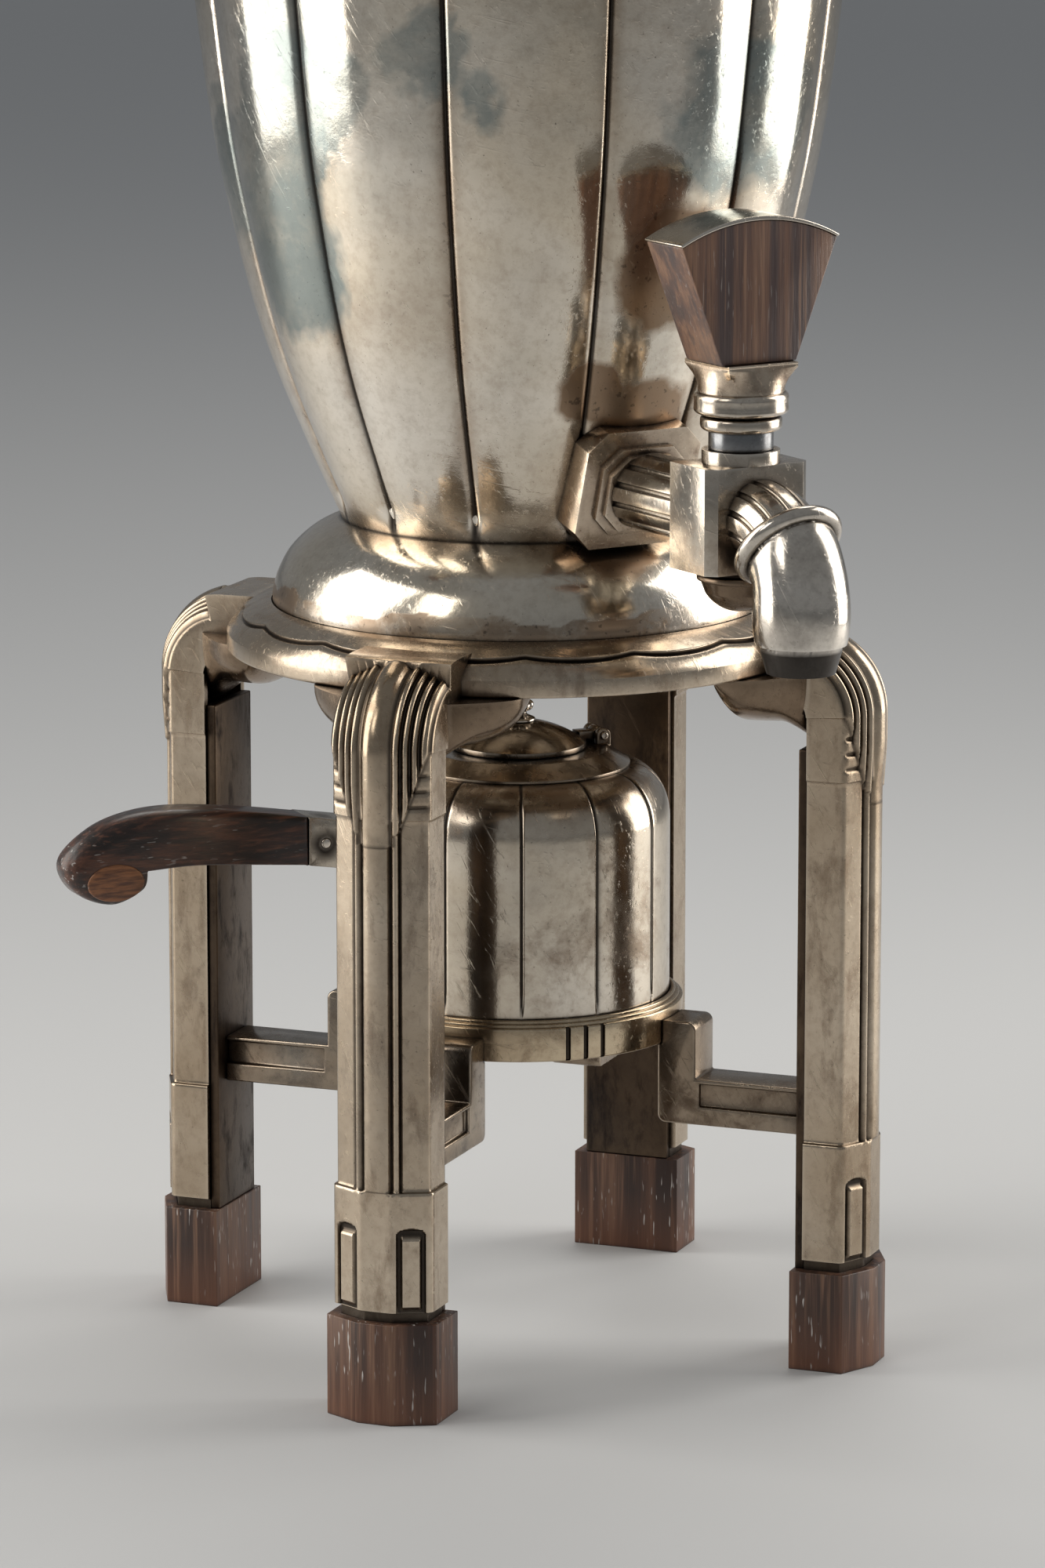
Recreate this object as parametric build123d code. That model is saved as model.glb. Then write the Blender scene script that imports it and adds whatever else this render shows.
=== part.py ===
from build123d import *
import math
import os

# A samovar on a four-legged stand with a spirit burner, in millimetres.
#
# While it is modelled, the vessel's axis is Z and the table is z = 0. A direction round that axis is an
# azimuth in degrees: 0 points along -Y, where the tap is, and 90 along +X. Pieces that repeat round the axis
# are drawn once, pointing along +X, and turned to their azimuth. At the end everything moves together, so
# that the origin is under the middle of the whole object.

# Fits
running_clearance = 0.05
lift_clearance = 0.3

# Feet and legs. A radius here is the distance from the vessel's axis along the leg's own direction.
stand_turn = -7.8
foot_height = 23.8
foot_proud = 2.2
foot_back_proud = 0.4
tenon_depth = 8.0
tenon_inset = 0.7
leg_neck_height = 2.6
leg_back_r = 73.7
back_plate_thickness = 2.3
leg_side_depth = 9.1
leg_nose_depth = 13.0
leg_half_width = 11.4
leg_nose_half_width = 3.6
leg_wall = 1.5
centre_rib_r = 2.6
centre_rib_rise = 1.3
reed_r = 0.7
sleeve_length = 28.0
sleeve_proud = 0.8
sleeve_tab_width = 4.6
sleeve_tab_height = 17.0
sleeve_slot_margin = 1.3
sleeve_slot_depth = 0.7
foot_screw_r = 1.5
foot_screw_head_r = 3.2
foot_screw_length = 22.0
foot_screw_recess = 1.2

# Shoulder of the leg
knee_inner_r = 5.0
knee_drop = 10.4
panel_proud = 0.5
panel_below_knee = 14.8
rib_tip_below_knee = 20.6
rib_tip_half_width = 3.6
rib_r = 1.05
rib_pitch = 2.1
rib_count = 4
first_rib_offset = 4.4
rib_front_lift = 0.6
rib_front_bend_r = 8.3
capital_rib_r = 3.1
knee_stub = 8.0

# Ring that carries the vessel
ring_r = 68.8
ring_bottom_z = 166.0
ring_band_height = 4.6
ring_height = 11.3
ring_shoulder_r = 64.6
ring_shoulder_drop = 2.3
ring_bulge = 0.6
ring_wall = 2.0
ring_hole_r = 52.0
seat_depth = 0.8
gusset_length = 20.0
gusset_half_width = 25.6
gusset_depth = 10.5
gusset_outer_depth = 18.0
gusset_reach = 2.0

# Vessel foot and vessel
dome_r = 58.0
dome_lip_height = 2.4
dome_height = 20.4
dome_top_r = 42.0
dome_middle_r = 53.8
dome_middle_height = 12.5
dome_wall = 1.6
vessel_wall = 1.5
vessel_height = 202.0
vessel_base_r = 41.5
vessel_low_height = 17.5
vessel_low_r = 49.4
vessel_flare_height = 41.0
vessel_flare_r = 58.8
vessel_middle_height = 67.0
vessel_middle_r = 66.0
vessel_upper_height = 101.5
vessel_upper_r = 72.6
vessel_belly_height = 157.0
vessel_belly_r = 77.8
vessel_shoulder_drop = 18.0
vessel_shoulder_r = 72.5
vessel_mouth_r = 54.0
lobe_count = 12
lobe_rise = 2.4
mouth_lobe_rise = 0.1

# Neck ring, lid and knob
neck_ring_r = 57.0
neck_ring_height = 8.0
neck_ring_lip_height = 2.6
neck_ring_step = 1.6
lid_rim_r = 56.0
lid_rim_height = 2.0
lid_height = 17.0
lid_top_r = 14.0
lid_wall = 1.4
lid_skirt_height = 5.0
knob_base_r = 13.0
knob_base_height = 5.0
knob_base_step = 3.0
knob_height = 19.0
knob_foot_half_width = 7.5
knob_top_half_width = 12.0
knob_half_depth = 7.5
knob_crown = 3.0
cap_plate_thickness = 1.0
knob_screw_r = 2.0
knob_screw_head_r = 4.5
knob_screw_head_height = 2.0
knob_screw_reach = 10.0

# Side handles of the vessel
side_handle_drop = 15.9
side_handle_spacing = 42.0
side_socket_half_height = 5.5
side_socket_half_width = 6.0
side_socket_reach = 20.2
side_grip_reach = 22.0
side_grip_depth = 13.0
side_grip_half_width = 6.0
side_tenon_length = 7.0
side_socket_wall = 1.2
side_pin_r = 1.0

# Tap
tap_height_over_base = 13.5
tap_axis_r = 94.9
block_half_depth = 8.2
block_half_width = 13.5
block_chamfer = 2.2
block_half_height = 12.0
barrel_r = 9.0
barrel_flutes = 12
flute_r = 0.75
waterway_r = 3.5
escutcheon_front_r = 52.2
escutcheon_tilt = 17.0
escutcheon_half_width = 15.1
escutcheon_half_height = 14.6
escutcheon_corner = 4.5
escutcheon_step = 1.5
escutcheon_first_in = 3.9
escutcheon_second_in = 1.4
elbow_bend_r = 16.6
elbow_turn = 42.0
bead_r = 1.9
nozzle_root_r = 10.2
nozzle_belly_r = 10.9
nozzle_end_r = 10.2
nozzle_lip_r = 9.1
nozzle_tip_r = 7.7
nozzle_straight = 15.4
nozzle_bore_r = 6.0
nozzle_lip_height = 1.5
nozzle_tip_height = 5.0

# Plug of the tap and its key. The plug turns in the block.
plug_r = 6.4
stud_r = 3.0
stud_length = 9.0
block_ring_r = 8.8
block_ring_height = 2.9
plug_neck_r = 7.3
plug_neck_height = 4.0
collar_r = 10.7
collar_height = 5.1
small_collar_r = 8.9
small_collar_height = 3.8
plug_stem_r = 5.0
socket_height = 6.9
socket_foot_r = 9.7
key_foot_half_width = 9.8
key_top_half_width = 20.5
key_half_depth = 7.4
key_side_height = 27.0
key_crown = 4.9
turning_gap = 0.2
washer_r = 8.6
washer_thickness = 1.0
nut_r = 9.8
nut_band_height = 1.4
nut_step_r = 9.0
nut_step_height = 2.9
nut_crown_r = 7.9
nut_height = 8.7

# Burner tray and its arms
tray_r = 39.1
tray_bottom_z = 74.0
tray_band_height = 8.0
tray_height = 9.5
tray_ledge_height = 2.5
tray_ledge_width = 5.5
tray_step = 0.9
tray_reeds = 3
tray_reed_spacing = 6.5
tray_reed_width = 1.1
tray_reed_depth = 0.6
arm_half_width = 6.35
arm_block_inner_r = 37.6
arm_block_outer_r = 47.0
arm_overlap = 5.6
arm_beam_drop = 8.1
arm_beam_height = 11.0
arm_corner_r = 2.0
arm_panel_depth = 1.2
arm_panel_margin = 1.0
arm_lip_height = 4.4

# Burner
burner_r = 35.85
burner_height = 61.0
burner_shoulder_height = 12.6
burner_top_r = 26.0
burner_wall = 1.2
burner_foot_chamfer = 1.2
burner_neck_r = 15.0
collar_lip_r = 26.3
collar_lip_height = 0.7
burner_collar_height = 3.8
burner_collar_top_r = 21.3
wick_disc_height = 2.0
wick_tube_r = 6.0
wick_tube_wall = 0.8
wick_tube_height = 30.0
wick_stand_out = 1.4
wick_gap_below = 8.0
burner_cap_r = 15.8
burner_cap_rim = 1.2
burner_cap_height = 6.3
burner_cap_wall = 1.0
burner_cap_gap = 0.2
finial_disc_r = 3.7
finial_disc_height = 1.1
finial_ball_r = 1.5
finial_height = 3.6
finial_lobes = 5
cap_hinge_r = 20.2
cap_hinge_rise = 1.9
hinge_pin_r = 0.9
hinge_barrel_r = 1.7
hinge_tongue_half_width = 2.1
hinge_lug_thickness = 1.8
hinge_gap = 0.3
hinge_pin_head = 0.6

# Burner handle. Heights are above the bottom of the burner.
shank_outer_r = 55.8
shank_root_z = 38.5
shank_end_z = 42.0
shank_height = 11.4
shank_half_width = 5.6
shank_wall = 1.0
shank_socket_depth = 9.0
grip_pin_r = 1.2
grip_pin_inset = 4.2
grip_half_width = 5.4
# Radius and height over the burner's bottom: the grip's top edge outwards, then its tip, then its underside
grip_top = ((70.4, 55.8), (87.4, 57.7), (99.5, 57.1), (109.1, 53.8), (115.9, 47.0))
grip_tip = ((112.7, 39.8), (104.5, 36.7), (97.0, 39.8), (95.8, 44.0))
grip_under = (76.0, 43.8)

LEG_NAMES = ("front_right", "back_right", "back_left", "front_left")
LEG_AZIMUTHS = {name: (number + 0.5) * 360 / len(LEG_NAMES) for number, name in enumerate(LEG_NAMES)}
SIDES = {"right": 90.0, "left": -90.0}

# Levels and radii that follow from the sizes above
shell_back_r = leg_back_r + back_plate_thickness
side_front_r = shell_back_r + leg_side_depth
nose_r = shell_back_r + leg_nose_depth
sleeve_z = foot_height + leg_neck_height
ring_top_z = ring_bottom_z + ring_height
seat_z = ring_top_z - seat_depth
knee_z = ring_bottom_z - knee_drop
knee_r = shell_back_r - knee_inner_r
back_plate_top_z = ring_bottom_z - gusset_outer_depth
vessel_z = seat_z + dome_height
mouth_z = vessel_z + vessel_height
neck_top_z = mouth_z + neck_ring_height
side_upper_z = mouth_z - side_handle_drop
side_lower_z = side_upper_z - side_handle_spacing
side_socket_r = vessel_belly_r + side_socket_reach
side_grip_r = side_socket_r + side_grip_reach
lid_top_z = neck_top_z + lid_height
knob_z = lid_top_z + knob_base_height
tap_z = vessel_z + tap_height_over_base
block_bottom_z = tap_z - block_half_height
block_top_z = tap_z + block_half_height
elbow_start_r = tap_axis_r + block_half_depth
nozzle_axis_r = elbow_start_r + elbow_bend_r
nozzle_bend_z = tap_z - elbow_bend_r
nozzle_bottom_z = nozzle_bend_z - nozzle_straight
plug_neck_z = block_top_z + block_ring_height + turning_gap
small_collar_z = plug_neck_z + plug_neck_height
big_collar_z = small_collar_z + small_collar_height
socket_z = big_collar_z + collar_height
key_z = socket_z + socket_height
tray_hole_r = burner_r + lift_clearance
arm_top_z = tray_bottom_z + arm_overlap
arm_beam_top_z = tray_bottom_z - arm_beam_drop
arm_bottom_z = arm_beam_top_z - arm_beam_height
burner_z = tray_bottom_z + tray_ledge_height
burner_top_z = burner_z + burner_height
collar_top_z = burner_top_z + burner_collar_height
cap_z = collar_top_z + burner_cap_gap
hinge_z = collar_top_z + cap_hinge_rise
handle_azimuth = -90.0 + stand_turn
hinge_azimuth = 90.0 + stand_turn

parts = {}


def keep(name, shape):
    """File a finished piece under its name."""
    parts[name] = shape


def turned(shape, azimuth):
    """Turn a piece drawn along +X to an azimuth round the vessel's axis."""
    return Rot(0, 0, azimuth - 90.0) * shape


def polygon(*points):
    """A flat face from its corners."""
    return make_face(Polyline(*points, close=True))


def lathe(*edges):
    """Turn a closed outline of (radius, height) round Z."""
    return revolve(Plane.XZ * make_face(list(edges)), Axis.Z)


def lathe_corners(*points):
    """Turn an outline of straight lines round Z."""
    return revolve(Plane.XZ * polygon(*points), Axis.Z)


def crown_arc(radius, edge_z, middle_z):
    """Half the section of a shallow dome: from its edge to its middle on the axis."""
    rise = middle_z - edge_z
    bend = (radius ** 2 + rise ** 2) / (2 * rise)
    half = math.asin(radius / abs(bend)) / 2
    middle = (abs(bend) * math.sin(half), middle_z - bend + bend * math.cos(half))
    return ThreePointArc((radius, edge_z), middle, (0, middle_z))


def disc(radius, bottom, height, x=0.0, y=0.0):
    """An upright round bar that stands on a height."""
    return Pos(x, y, bottom) * extrude(Circle(radius), height)


def tube(outer, inner, bottom, height):
    """An upright tube that stands on a height."""
    return disc(outer, bottom, height) - disc(inner, bottom, height)


def bar_along_x(radius, start, end, z):
    """A round bar along +X at a height."""
    return Pos(start, 0, z) * Rot(0, 90, 0) * extrude(Circle(radius), end - start)


def bar_along_y(radius, half_length, x, z):
    """A round bar along Y, centred on the XZ plane."""
    return Pos(x, -half_length, z) * Rot(-90, 0, 0) * extrude(Circle(radius), 2 * half_length)


def side_plate(outline, half_width):
    """Extrude an outline of (radius, height) to both sides of the XZ plane."""
    return extrude(Plane.XZ * outline, half_width, both=True)


def leg_outline(grow, back):
    """Plan of a leg: flat back, two sides, two slanting faces and a nose, grown by a distance all round."""
    slant = math.atan2(leg_half_width - leg_nose_half_width, nose_r - side_front_r)
    side = side_front_r + grow * math.tan(slant / 2)
    half = leg_half_width + grow
    nose_half = leg_nose_half_width + grow * math.tan((math.pi / 2 - slant) / 2)
    return polygon((back, -half), (side, -half), (nose_r + grow, -nose_half), (nose_r + grow, nose_half),
                   (side, half), (back, half))


def shaft_outline():
    """Plan of the shaft: the leg's outline with a half-round rib and two thin reeds on its nose."""
    outline = leg_outline(0, shell_back_r)
    outline += Pos(nose_r + centre_rib_rise - centre_rib_r, 0) * Circle(centre_rib_r)
    for side in (-1, 1):
        outline += Pos(nose_r - reed_r / 3, side * (leg_nose_half_width + reed_r / 3)) * Circle(reed_r)
    return outline


def rib_front(offset):
    """Radius of the shoulder's front at a distance from its middle."""
    beyond = max(abs(offset) - leg_nose_half_width, 0.0)
    return nose_r + rib_front_lift - beyond ** 2 / (2 * rib_front_bend_r)


def rib_outline():
    """Plan of the ribbed front of the shoulder: one broad rib with narrow ones on each side."""
    offsets = [first_rib_offset + rib_pitch * number for number in range(rib_count)]
    last = offsets[-1] + rib_r / 2
    right = [(rib_front(offset), offset) for offset in offsets]
    left = [(radius, -offset) for radius, offset in reversed(right)]
    edge = (side_front_r - leg_wall, last)
    outline = polygon((edge[0], -last), *left, *right, edge)
    outline += Pos(nose_r + rib_front_lift + rib_r - capital_rib_r, 0) * Circle(capital_rib_r)
    for radius, offset in left + right:
        outline += Pos(radius - rib_r / 2, offset) * Circle(rib_r)
    return outline


def bent_over_knee(outline, top, bottom):
    """Run a plan up a straight length, round the knee and on towards the ring."""
    straight = Pos(0, 0, bottom) * extrude(outline, top - bottom)
    axis = Axis((knee_r, 0, knee_z), (0, -1, 0))
    bend = revolve(Pos(0, 0, knee_z) * outline, axis, 90)
    level = Pos(knee_r, 0, knee_z) * Rot(0, -90, 0) * Pos(-knee_r, 0, 0) * outline
    run = extrude(level, knee_stub, dir=(-1, 0, 0))
    return straight + bend + run


def ring_edges(inner_r):
    """Outline of the ring's outside, closed along the bottom and at an inner radius."""
    band_top = ring_bottom_z + ring_band_height
    shoulder_z = ring_top_z - ring_shoulder_drop
    middle = ((ring_r + ring_shoulder_r) / 2 + ring_bulge, (band_top + shoulder_z) / 2 + ring_bulge)
    return [
        Line((inner_r, ring_bottom_z), (ring_r, ring_bottom_z)),
        Line((ring_r, ring_bottom_z), (ring_r, band_top)),
        ThreePointArc((ring_r, band_top), middle, (ring_shoulder_r, shoulder_z)),
        Line((ring_shoulder_r, shoulder_z), (dome_r + lift_clearance, ring_top_z)),
        Line((dome_r + lift_clearance, ring_top_z), (inner_r, ring_top_z)),
        Line((inner_r, ring_top_z), (inner_r, ring_bottom_z)),
    ]


def make_ring():
    """The ring: a hollow moulding, open below, with a seat for the vessel's foot."""
    body = lathe(*ring_edges(ring_hole_r))
    seat = tube(dome_r + lift_clearance, 0.5 * ring_hole_r, seat_z, seat_depth)
    hollow = lathe_corners(
        (ring_hole_r + ring_wall, ring_bottom_z),
        (ring_r - ring_wall, ring_bottom_z),
        (ring_r - ring_wall, ring_bottom_z + ring_band_height - ring_wall / 2),
        (ring_shoulder_r - ring_wall, ring_top_z - ring_shoulder_drop - ring_wall),
        (dome_r, seat_z - ring_wall),
        (ring_hole_r + ring_wall, seat_z - ring_wall),
    )
    return body - seat - hollow


def make_legs():
    """Leg shells, their back plates, the feet and the gussets under the ring."""
    tenon_z = foot_height - tenon_depth
    solid_top = sleeve_z + leg_wall
    outside = bent_over_knee(shaft_outline(), knee_z, sleeve_z)
    outside += bent_over_knee(leg_outline(panel_proud, shell_back_r), knee_z, knee_z - panel_below_knee)
    outside += Pos(0, 0, sleeve_z) * extrude(leg_outline(sleeve_proud, shell_back_r), sleeve_length)
    outside += make_ribs()
    outside += Pos(0, 0, tenon_z) * extrude(leg_outline(-tenon_inset, shell_back_r), sleeve_z - tenon_z)
    channel = leg_outline(-leg_wall, shell_back_r - leg_wall)
    inside = bent_over_knee(channel, knee_z, solid_top)
    envelope = lathe(*ring_edges(ring_hole_r))
    shell = outside - inside - envelope
    for cut in sleeve_slots():
        shell -= cut
    screw_x = (shell_back_r + nose_r) / 2
    shell -= disc(foot_screw_r, tenon_z, foot_screw_recess + foot_screw_length - tenon_z, screw_x)

    plate = Pos((leg_back_r + shell_back_r) / 2, 0, (foot_height + back_plate_top_z) / 2) * Box(
        back_plate_thickness, 2 * (leg_half_width - reed_r), back_plate_top_z - foot_height)

    foot = extrude(leg_outline(foot_proud, leg_back_r - foot_back_proud), foot_height)
    foot -= Pos(0, 0, tenon_z) * extrude(leg_outline(-tenon_inset, shell_back_r), tenon_depth)
    head_height = foot_screw_recess + foot_screw_head_r - foot_screw_r
    foot -= disc(foot_screw_r, 0, foot_height, screw_x)
    foot -= disc(foot_screw_head_r, 0, head_height, screw_x)

    screw = disc(foot_screw_r, foot_screw_recess, foot_screw_length, screw_x)
    screw += disc(foot_screw_head_r, foot_screw_recess, head_height - foot_screw_recess, screw_x)

    gusset = make_gusset() - outside
    screws = []
    for name, angle in LEG_AZIMUTHS.items():
        azimuth = angle + stand_turn
        keep("leg_shell_" + name, turned(shell, azimuth))
        keep("leg_back_plate_" + name, turned(plate, azimuth))
        keep("foot_block_" + name, turned(foot, azimuth))
        keep("ring_gusset_" + name, turned(gusset, azimuth))
        screws.append(turned(screw, azimuth))
    keep("foot_screws", Compound(children=screws))


def make_ribs():
    """Ribs of the shoulder, cut to a pointed shield below the knee."""
    last = first_rib_offset + rib_pitch * rib_count
    tip_z = knee_z - rib_tip_below_knee
    corner_v = rib_tip_half_width + rib_pitch
    corner_z = tip_z + 2 * rib_pitch
    shield = polygon(
        (-last, knee_z + rib_pitch), (-last, knee_z), (-corner_v, corner_z), (-rib_tip_half_width, tip_z),
        (rib_tip_half_width, tip_z), (corner_v, corner_z), (last, knee_z), (last, knee_z + rib_pitch))
    below = Pos(0, 0, tip_z) * extrude(rib_outline(), knee_z - tip_z)
    below &= Pos(shell_back_r, 0, 0) * extrude(Plane.YZ * shield, 2 * leg_nose_depth)
    return below + bent_over_knee(rib_outline(), knee_z, knee_z - rib_r)


def sleeve_slots():
    """Slots round the raised tab on each slanting face of the sleeve."""
    slant = math.atan2(leg_half_width - leg_nose_half_width, nose_r - side_front_r)
    cuts = []
    for side in (-1, 1):
        middle_r = (side_front_r + nose_r) / 2 + sleeve_proud * math.sin(slant)
        middle_v = side * ((leg_half_width + leg_nose_half_width) / 2 + sleeve_proud * math.cos(slant))
        facing = Vector(math.sin(slant), side * math.cos(slant), 0)
        plane = Plane(origin=(middle_r, middle_v, sleeve_z), x_dir=Vector(0, 0, 1), z_dir=facing)
        slot_height = sleeve_tab_height + 2 * sleeve_slot_margin
        slot_width = sleeve_tab_width + 2 * sleeve_slot_margin
        slot = Pos(slot_height / 2, 0, 0) * Box(slot_height, slot_width, 2 * sleeve_slot_depth)
        tab = Pos(sleeve_tab_height / 2, 0, 0) * Box(
            sleeve_tab_height, sleeve_tab_width, 3 * sleeve_slot_depth)
        cuts.append(plane * (slot - tab))
    return cuts


def make_gusset():
    """A sheet-like bracket that runs from under the ring out to the back of a leg."""
    sections = []
    outer_half = leg_half_width - leg_wall - lift_clearance
    outer_r = shell_back_r + gusset_reach
    for radius, half_width, depth in ((outer_r - gusset_length, gusset_half_width, gusset_depth),
                                      (outer_r, outer_half, gusset_outer_depth)):
        plane = Plane(origin=(radius, 0, ring_bottom_z), x_dir=(0, 1, 0), z_dir=(1, 0, 0))
        outline = make_face([
            EllipticalCenterArc((0, 0), half_width, depth, start_angle=180, arc_size=180),
            Line((half_width, 0), (-half_width, 0)),
        ])
        sections.append(plane * outline)
    return loft(sections, ruled=True)


def make_tray():
    """The tray ring with its ledge and reeds, and the four arms that carry it."""
    tray_top_z = tray_bottom_z + tray_height
    band_top_z = tray_bottom_z + tray_band_height
    ledge_r = tray_hole_r - tray_ledge_width
    ring = lathe_corners(
        (ledge_r, tray_bottom_z), (tray_r, tray_bottom_z), (tray_r, band_top_z),
        (tray_r - tray_step, band_top_z), (tray_r - tray_step, (band_top_z + tray_top_z) / 2),
        (tray_r - 2 * tray_step, (band_top_z + tray_top_z) / 2), (tray_r - 2 * tray_step, tray_top_z),
        (tray_hole_r, tray_top_z), (tray_hole_r, burner_z), (ledge_r, burner_z))
    for angle in LEG_AZIMUTHS.values():
        for number in range(tray_reeds):
            azimuth = angle + 45.0 + stand_turn + (number - (tray_reeds - 1) / 2) * tray_reed_spacing
            groove = Pos(tray_r, 0, tray_bottom_z + tray_band_height / 2) * Box(
                2 * tray_reed_depth, tray_reed_width, tray_band_height)
            ring -= turned(groove, azimuth)
    keep("tray_ring", ring)

    outline = polygon(
        (arm_block_inner_r, arm_top_z), (arm_block_outer_r, arm_top_z), (arm_block_outer_r, arm_beam_top_z),
        (leg_back_r, arm_beam_top_z), (leg_back_r, arm_bottom_z), (arm_block_inner_r, arm_bottom_z))
    arm = side_plate(outline, arm_half_width)
    top_corner = arm.edges().filter_by(Axis.Y).group_by(Axis.Z)[-1].sort_by(Axis.X)[-1]
    bottom_corner = arm.edges().filter_by(Axis.Y).group_by(Axis.Z)[0].sort_by(Axis.X)[0]
    arm = fillet([top_corner, bottom_corner], arm_corner_r)
    arm -= disc(tray_r, tray_bottom_z, tray_height)
    panel_top = arm_beam_top_z - arm_panel_margin
    panel_bottom = arm_bottom_z + arm_lip_height
    panel = polygon(
        (arm_block_outer_r + arm_panel_margin, panel_top), (leg_back_r, panel_top),
        (leg_back_r, panel_bottom), (arm_block_outer_r + arm_panel_margin, panel_bottom))
    for side in (-1, 1):
        arm -= Pos(0, side * arm_half_width, 0) * side_plate(panel, arm_panel_depth)
    for name, angle in LEG_AZIMUTHS.items():
        keep("tray_arm_" + name, turned(arm, angle + stand_turn))


def lobed_section(radius, rise, z):
    """A level section of the vessel: lobes bulge out to a radius from valleys that lie a rise further in."""
    valleys = []
    crests = []
    for number in range(lobe_count):
        turn = 2 * math.pi / lobe_count
        for points, distance, angle in ((valleys, radius - rise, (number + 0.5) * turn),
                                        (crests, radius, (number + 1) * turn)):
            points.append((distance * math.cos(angle), distance * math.sin(angle)))
    arcs = [ThreePointArc(valleys[number], crests[number], valleys[(number + 1) % lobe_count])
            for number in range(lobe_count)]
    return Pos(0, 0, z) * make_face(arcs)


def vessel_solid(inset):
    """The vessel as a full lobed solid from its base to its mouth, moved in by a distance."""
    stations = [
        (inset, vessel_base_r), (vessel_low_height, vessel_low_r), (vessel_flare_height, vessel_flare_r),
        (vessel_middle_height, vessel_middle_r), (vessel_upper_height, vessel_upper_r),
        (vessel_belly_height, vessel_belly_r), (vessel_height - vessel_shoulder_drop, vessel_shoulder_r)]
    sections = [lobed_section(radius - inset, lobe_rise * radius / vessel_belly_r, vessel_z + height)
                for height, radius in stations]
    sections.append(lobed_section(vessel_mouth_r - inset, mouth_lobe_rise, mouth_z))
    return loft(sections)


def make_vessel():
    """The vessel body, the convex foot it is fixed to, and its neck ring."""
    envelope = vessel_solid(0)
    body = envelope - vessel_solid(vessel_wall)
    body -= turned(bar_along_x(waterway_r, 0.5 * vessel_base_r, vessel_mouth_r + neck_ring_r, tap_z), 0)
    keep("vessel_body", body)

    outer = dome_arc(0)
    inner = dome_arc(dome_wall)
    floor_r = dome_top_r - 2 * dome_wall
    keep("vessel_foot", lathe(
        Line((dome_r - dome_wall, seat_z), (dome_r, seat_z)),
        Line((dome_r, seat_z), outer @ 0), outer, Line(outer @ 1, (floor_r, vessel_z)),
        Line((floor_r, vessel_z), (floor_r, vessel_z - dome_wall)),
        Line((floor_r, vessel_z - dome_wall), inner @ 1), inner,
        Line(inner @ 0, (dome_r - dome_wall, seat_z))))

    inner_r = vessel_mouth_r - vessel_wall
    lip_z = neck_top_z - neck_ring_lip_height
    keep("vessel_neck_ring", lathe_corners(
        (inner_r, mouth_z), (vessel_mouth_r + neck_ring_step / 2, mouth_z),
        (vessel_mouth_r + neck_ring_step / 2, mouth_z + neck_ring_lip_height),
        (neck_ring_r - neck_ring_step / 2, mouth_z + neck_ring_lip_height),
        (neck_ring_r - neck_ring_step / 2, lip_z), (neck_ring_r, lip_z), (neck_ring_r, neck_top_z),
        (inner_r, neck_top_z)))
    return envelope


def dome_arc(inset):
    """The convex side of the vessel's foot, moved in by a distance."""
    middle = (dome_middle_r - inset, seat_z + dome_middle_height - inset / 2)
    return ThreePointArc((dome_r - inset, seat_z + dome_lip_height), middle,
                         (dome_top_r - inset, vessel_z - inset))


def make_lid():
    """The lid with its skirt, and the knob that is screwed to it from below."""
    rim_z = neck_top_z + lid_rim_height
    middle_r = (lid_rim_r + lid_top_r) / 2
    middle_z = rim_z + 0.72 * (lid_top_z - rim_z)
    outer = ThreePointArc((lid_rim_r - lid_wall, rim_z), (middle_r, middle_z), (lid_top_r, lid_top_z))
    inner = ThreePointArc((lid_rim_r - 3 * lid_wall, neck_top_z), (middle_r, middle_z - lid_wall),
                          (lid_top_r, lid_top_z - lid_wall))
    skirt_r = vessel_mouth_r - vessel_wall - lift_clearance
    skirt_z = neck_top_z - lid_skirt_height
    lid = lathe(
        Line((knob_screw_r, lid_top_z - lid_wall), inner @ 1), inner,
        Line(inner @ 0, (skirt_r - lid_wall, neck_top_z)),
        Line((skirt_r - lid_wall, neck_top_z), (skirt_r - lid_wall, skirt_z)),
        Line((skirt_r - lid_wall, skirt_z), (skirt_r, skirt_z)),
        Line((skirt_r, skirt_z), (skirt_r, neck_top_z)),
        Line((skirt_r, neck_top_z), (lid_rim_r, neck_top_z)),
        Line((lid_rim_r, neck_top_z), (lid_rim_r, rim_z)),
        Line((lid_rim_r, rim_z), outer @ 0), outer, Line(outer @ 1, (knob_screw_r, lid_top_z)),
        Line((knob_screw_r, lid_top_z), (knob_screw_r, lid_top_z - lid_wall)))
    keep("lid", lid)

    step_z = lid_top_z + knob_base_height / 2
    step_r = knob_base_r - knob_base_step
    keep("lid_knob_base", lathe_corners(
        (knob_screw_r, lid_top_z), (knob_base_r, lid_top_z), (knob_base_r, step_z), (step_r, step_z),
        (step_r, knob_z), (knob_screw_r, knob_z)))

    knob = fan_block(knob_foot_half_width, knob_top_half_width, knob_half_depth, knob_height, knob_crown)
    hole = disc(knob_screw_r, 0, knob_screw_reach)
    keep("lid_knob", turned(Pos(0, 0, knob_z) * (knob - hole), 0))
    plate = fan_plate(knob_top_half_width, knob_half_depth, knob_height, knob_crown)
    keep("lid_knob_plate", turned(Pos(0, 0, knob_z) * plate, 0))
    head_z = lid_top_z - lid_wall - knob_screw_head_height
    screw = disc(knob_screw_head_r, head_z, knob_screw_head_height)
    screw += disc(knob_screw_r, head_z, knob_z + knob_screw_reach - head_z)
    keep("lid_knob_screw", screw)


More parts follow.
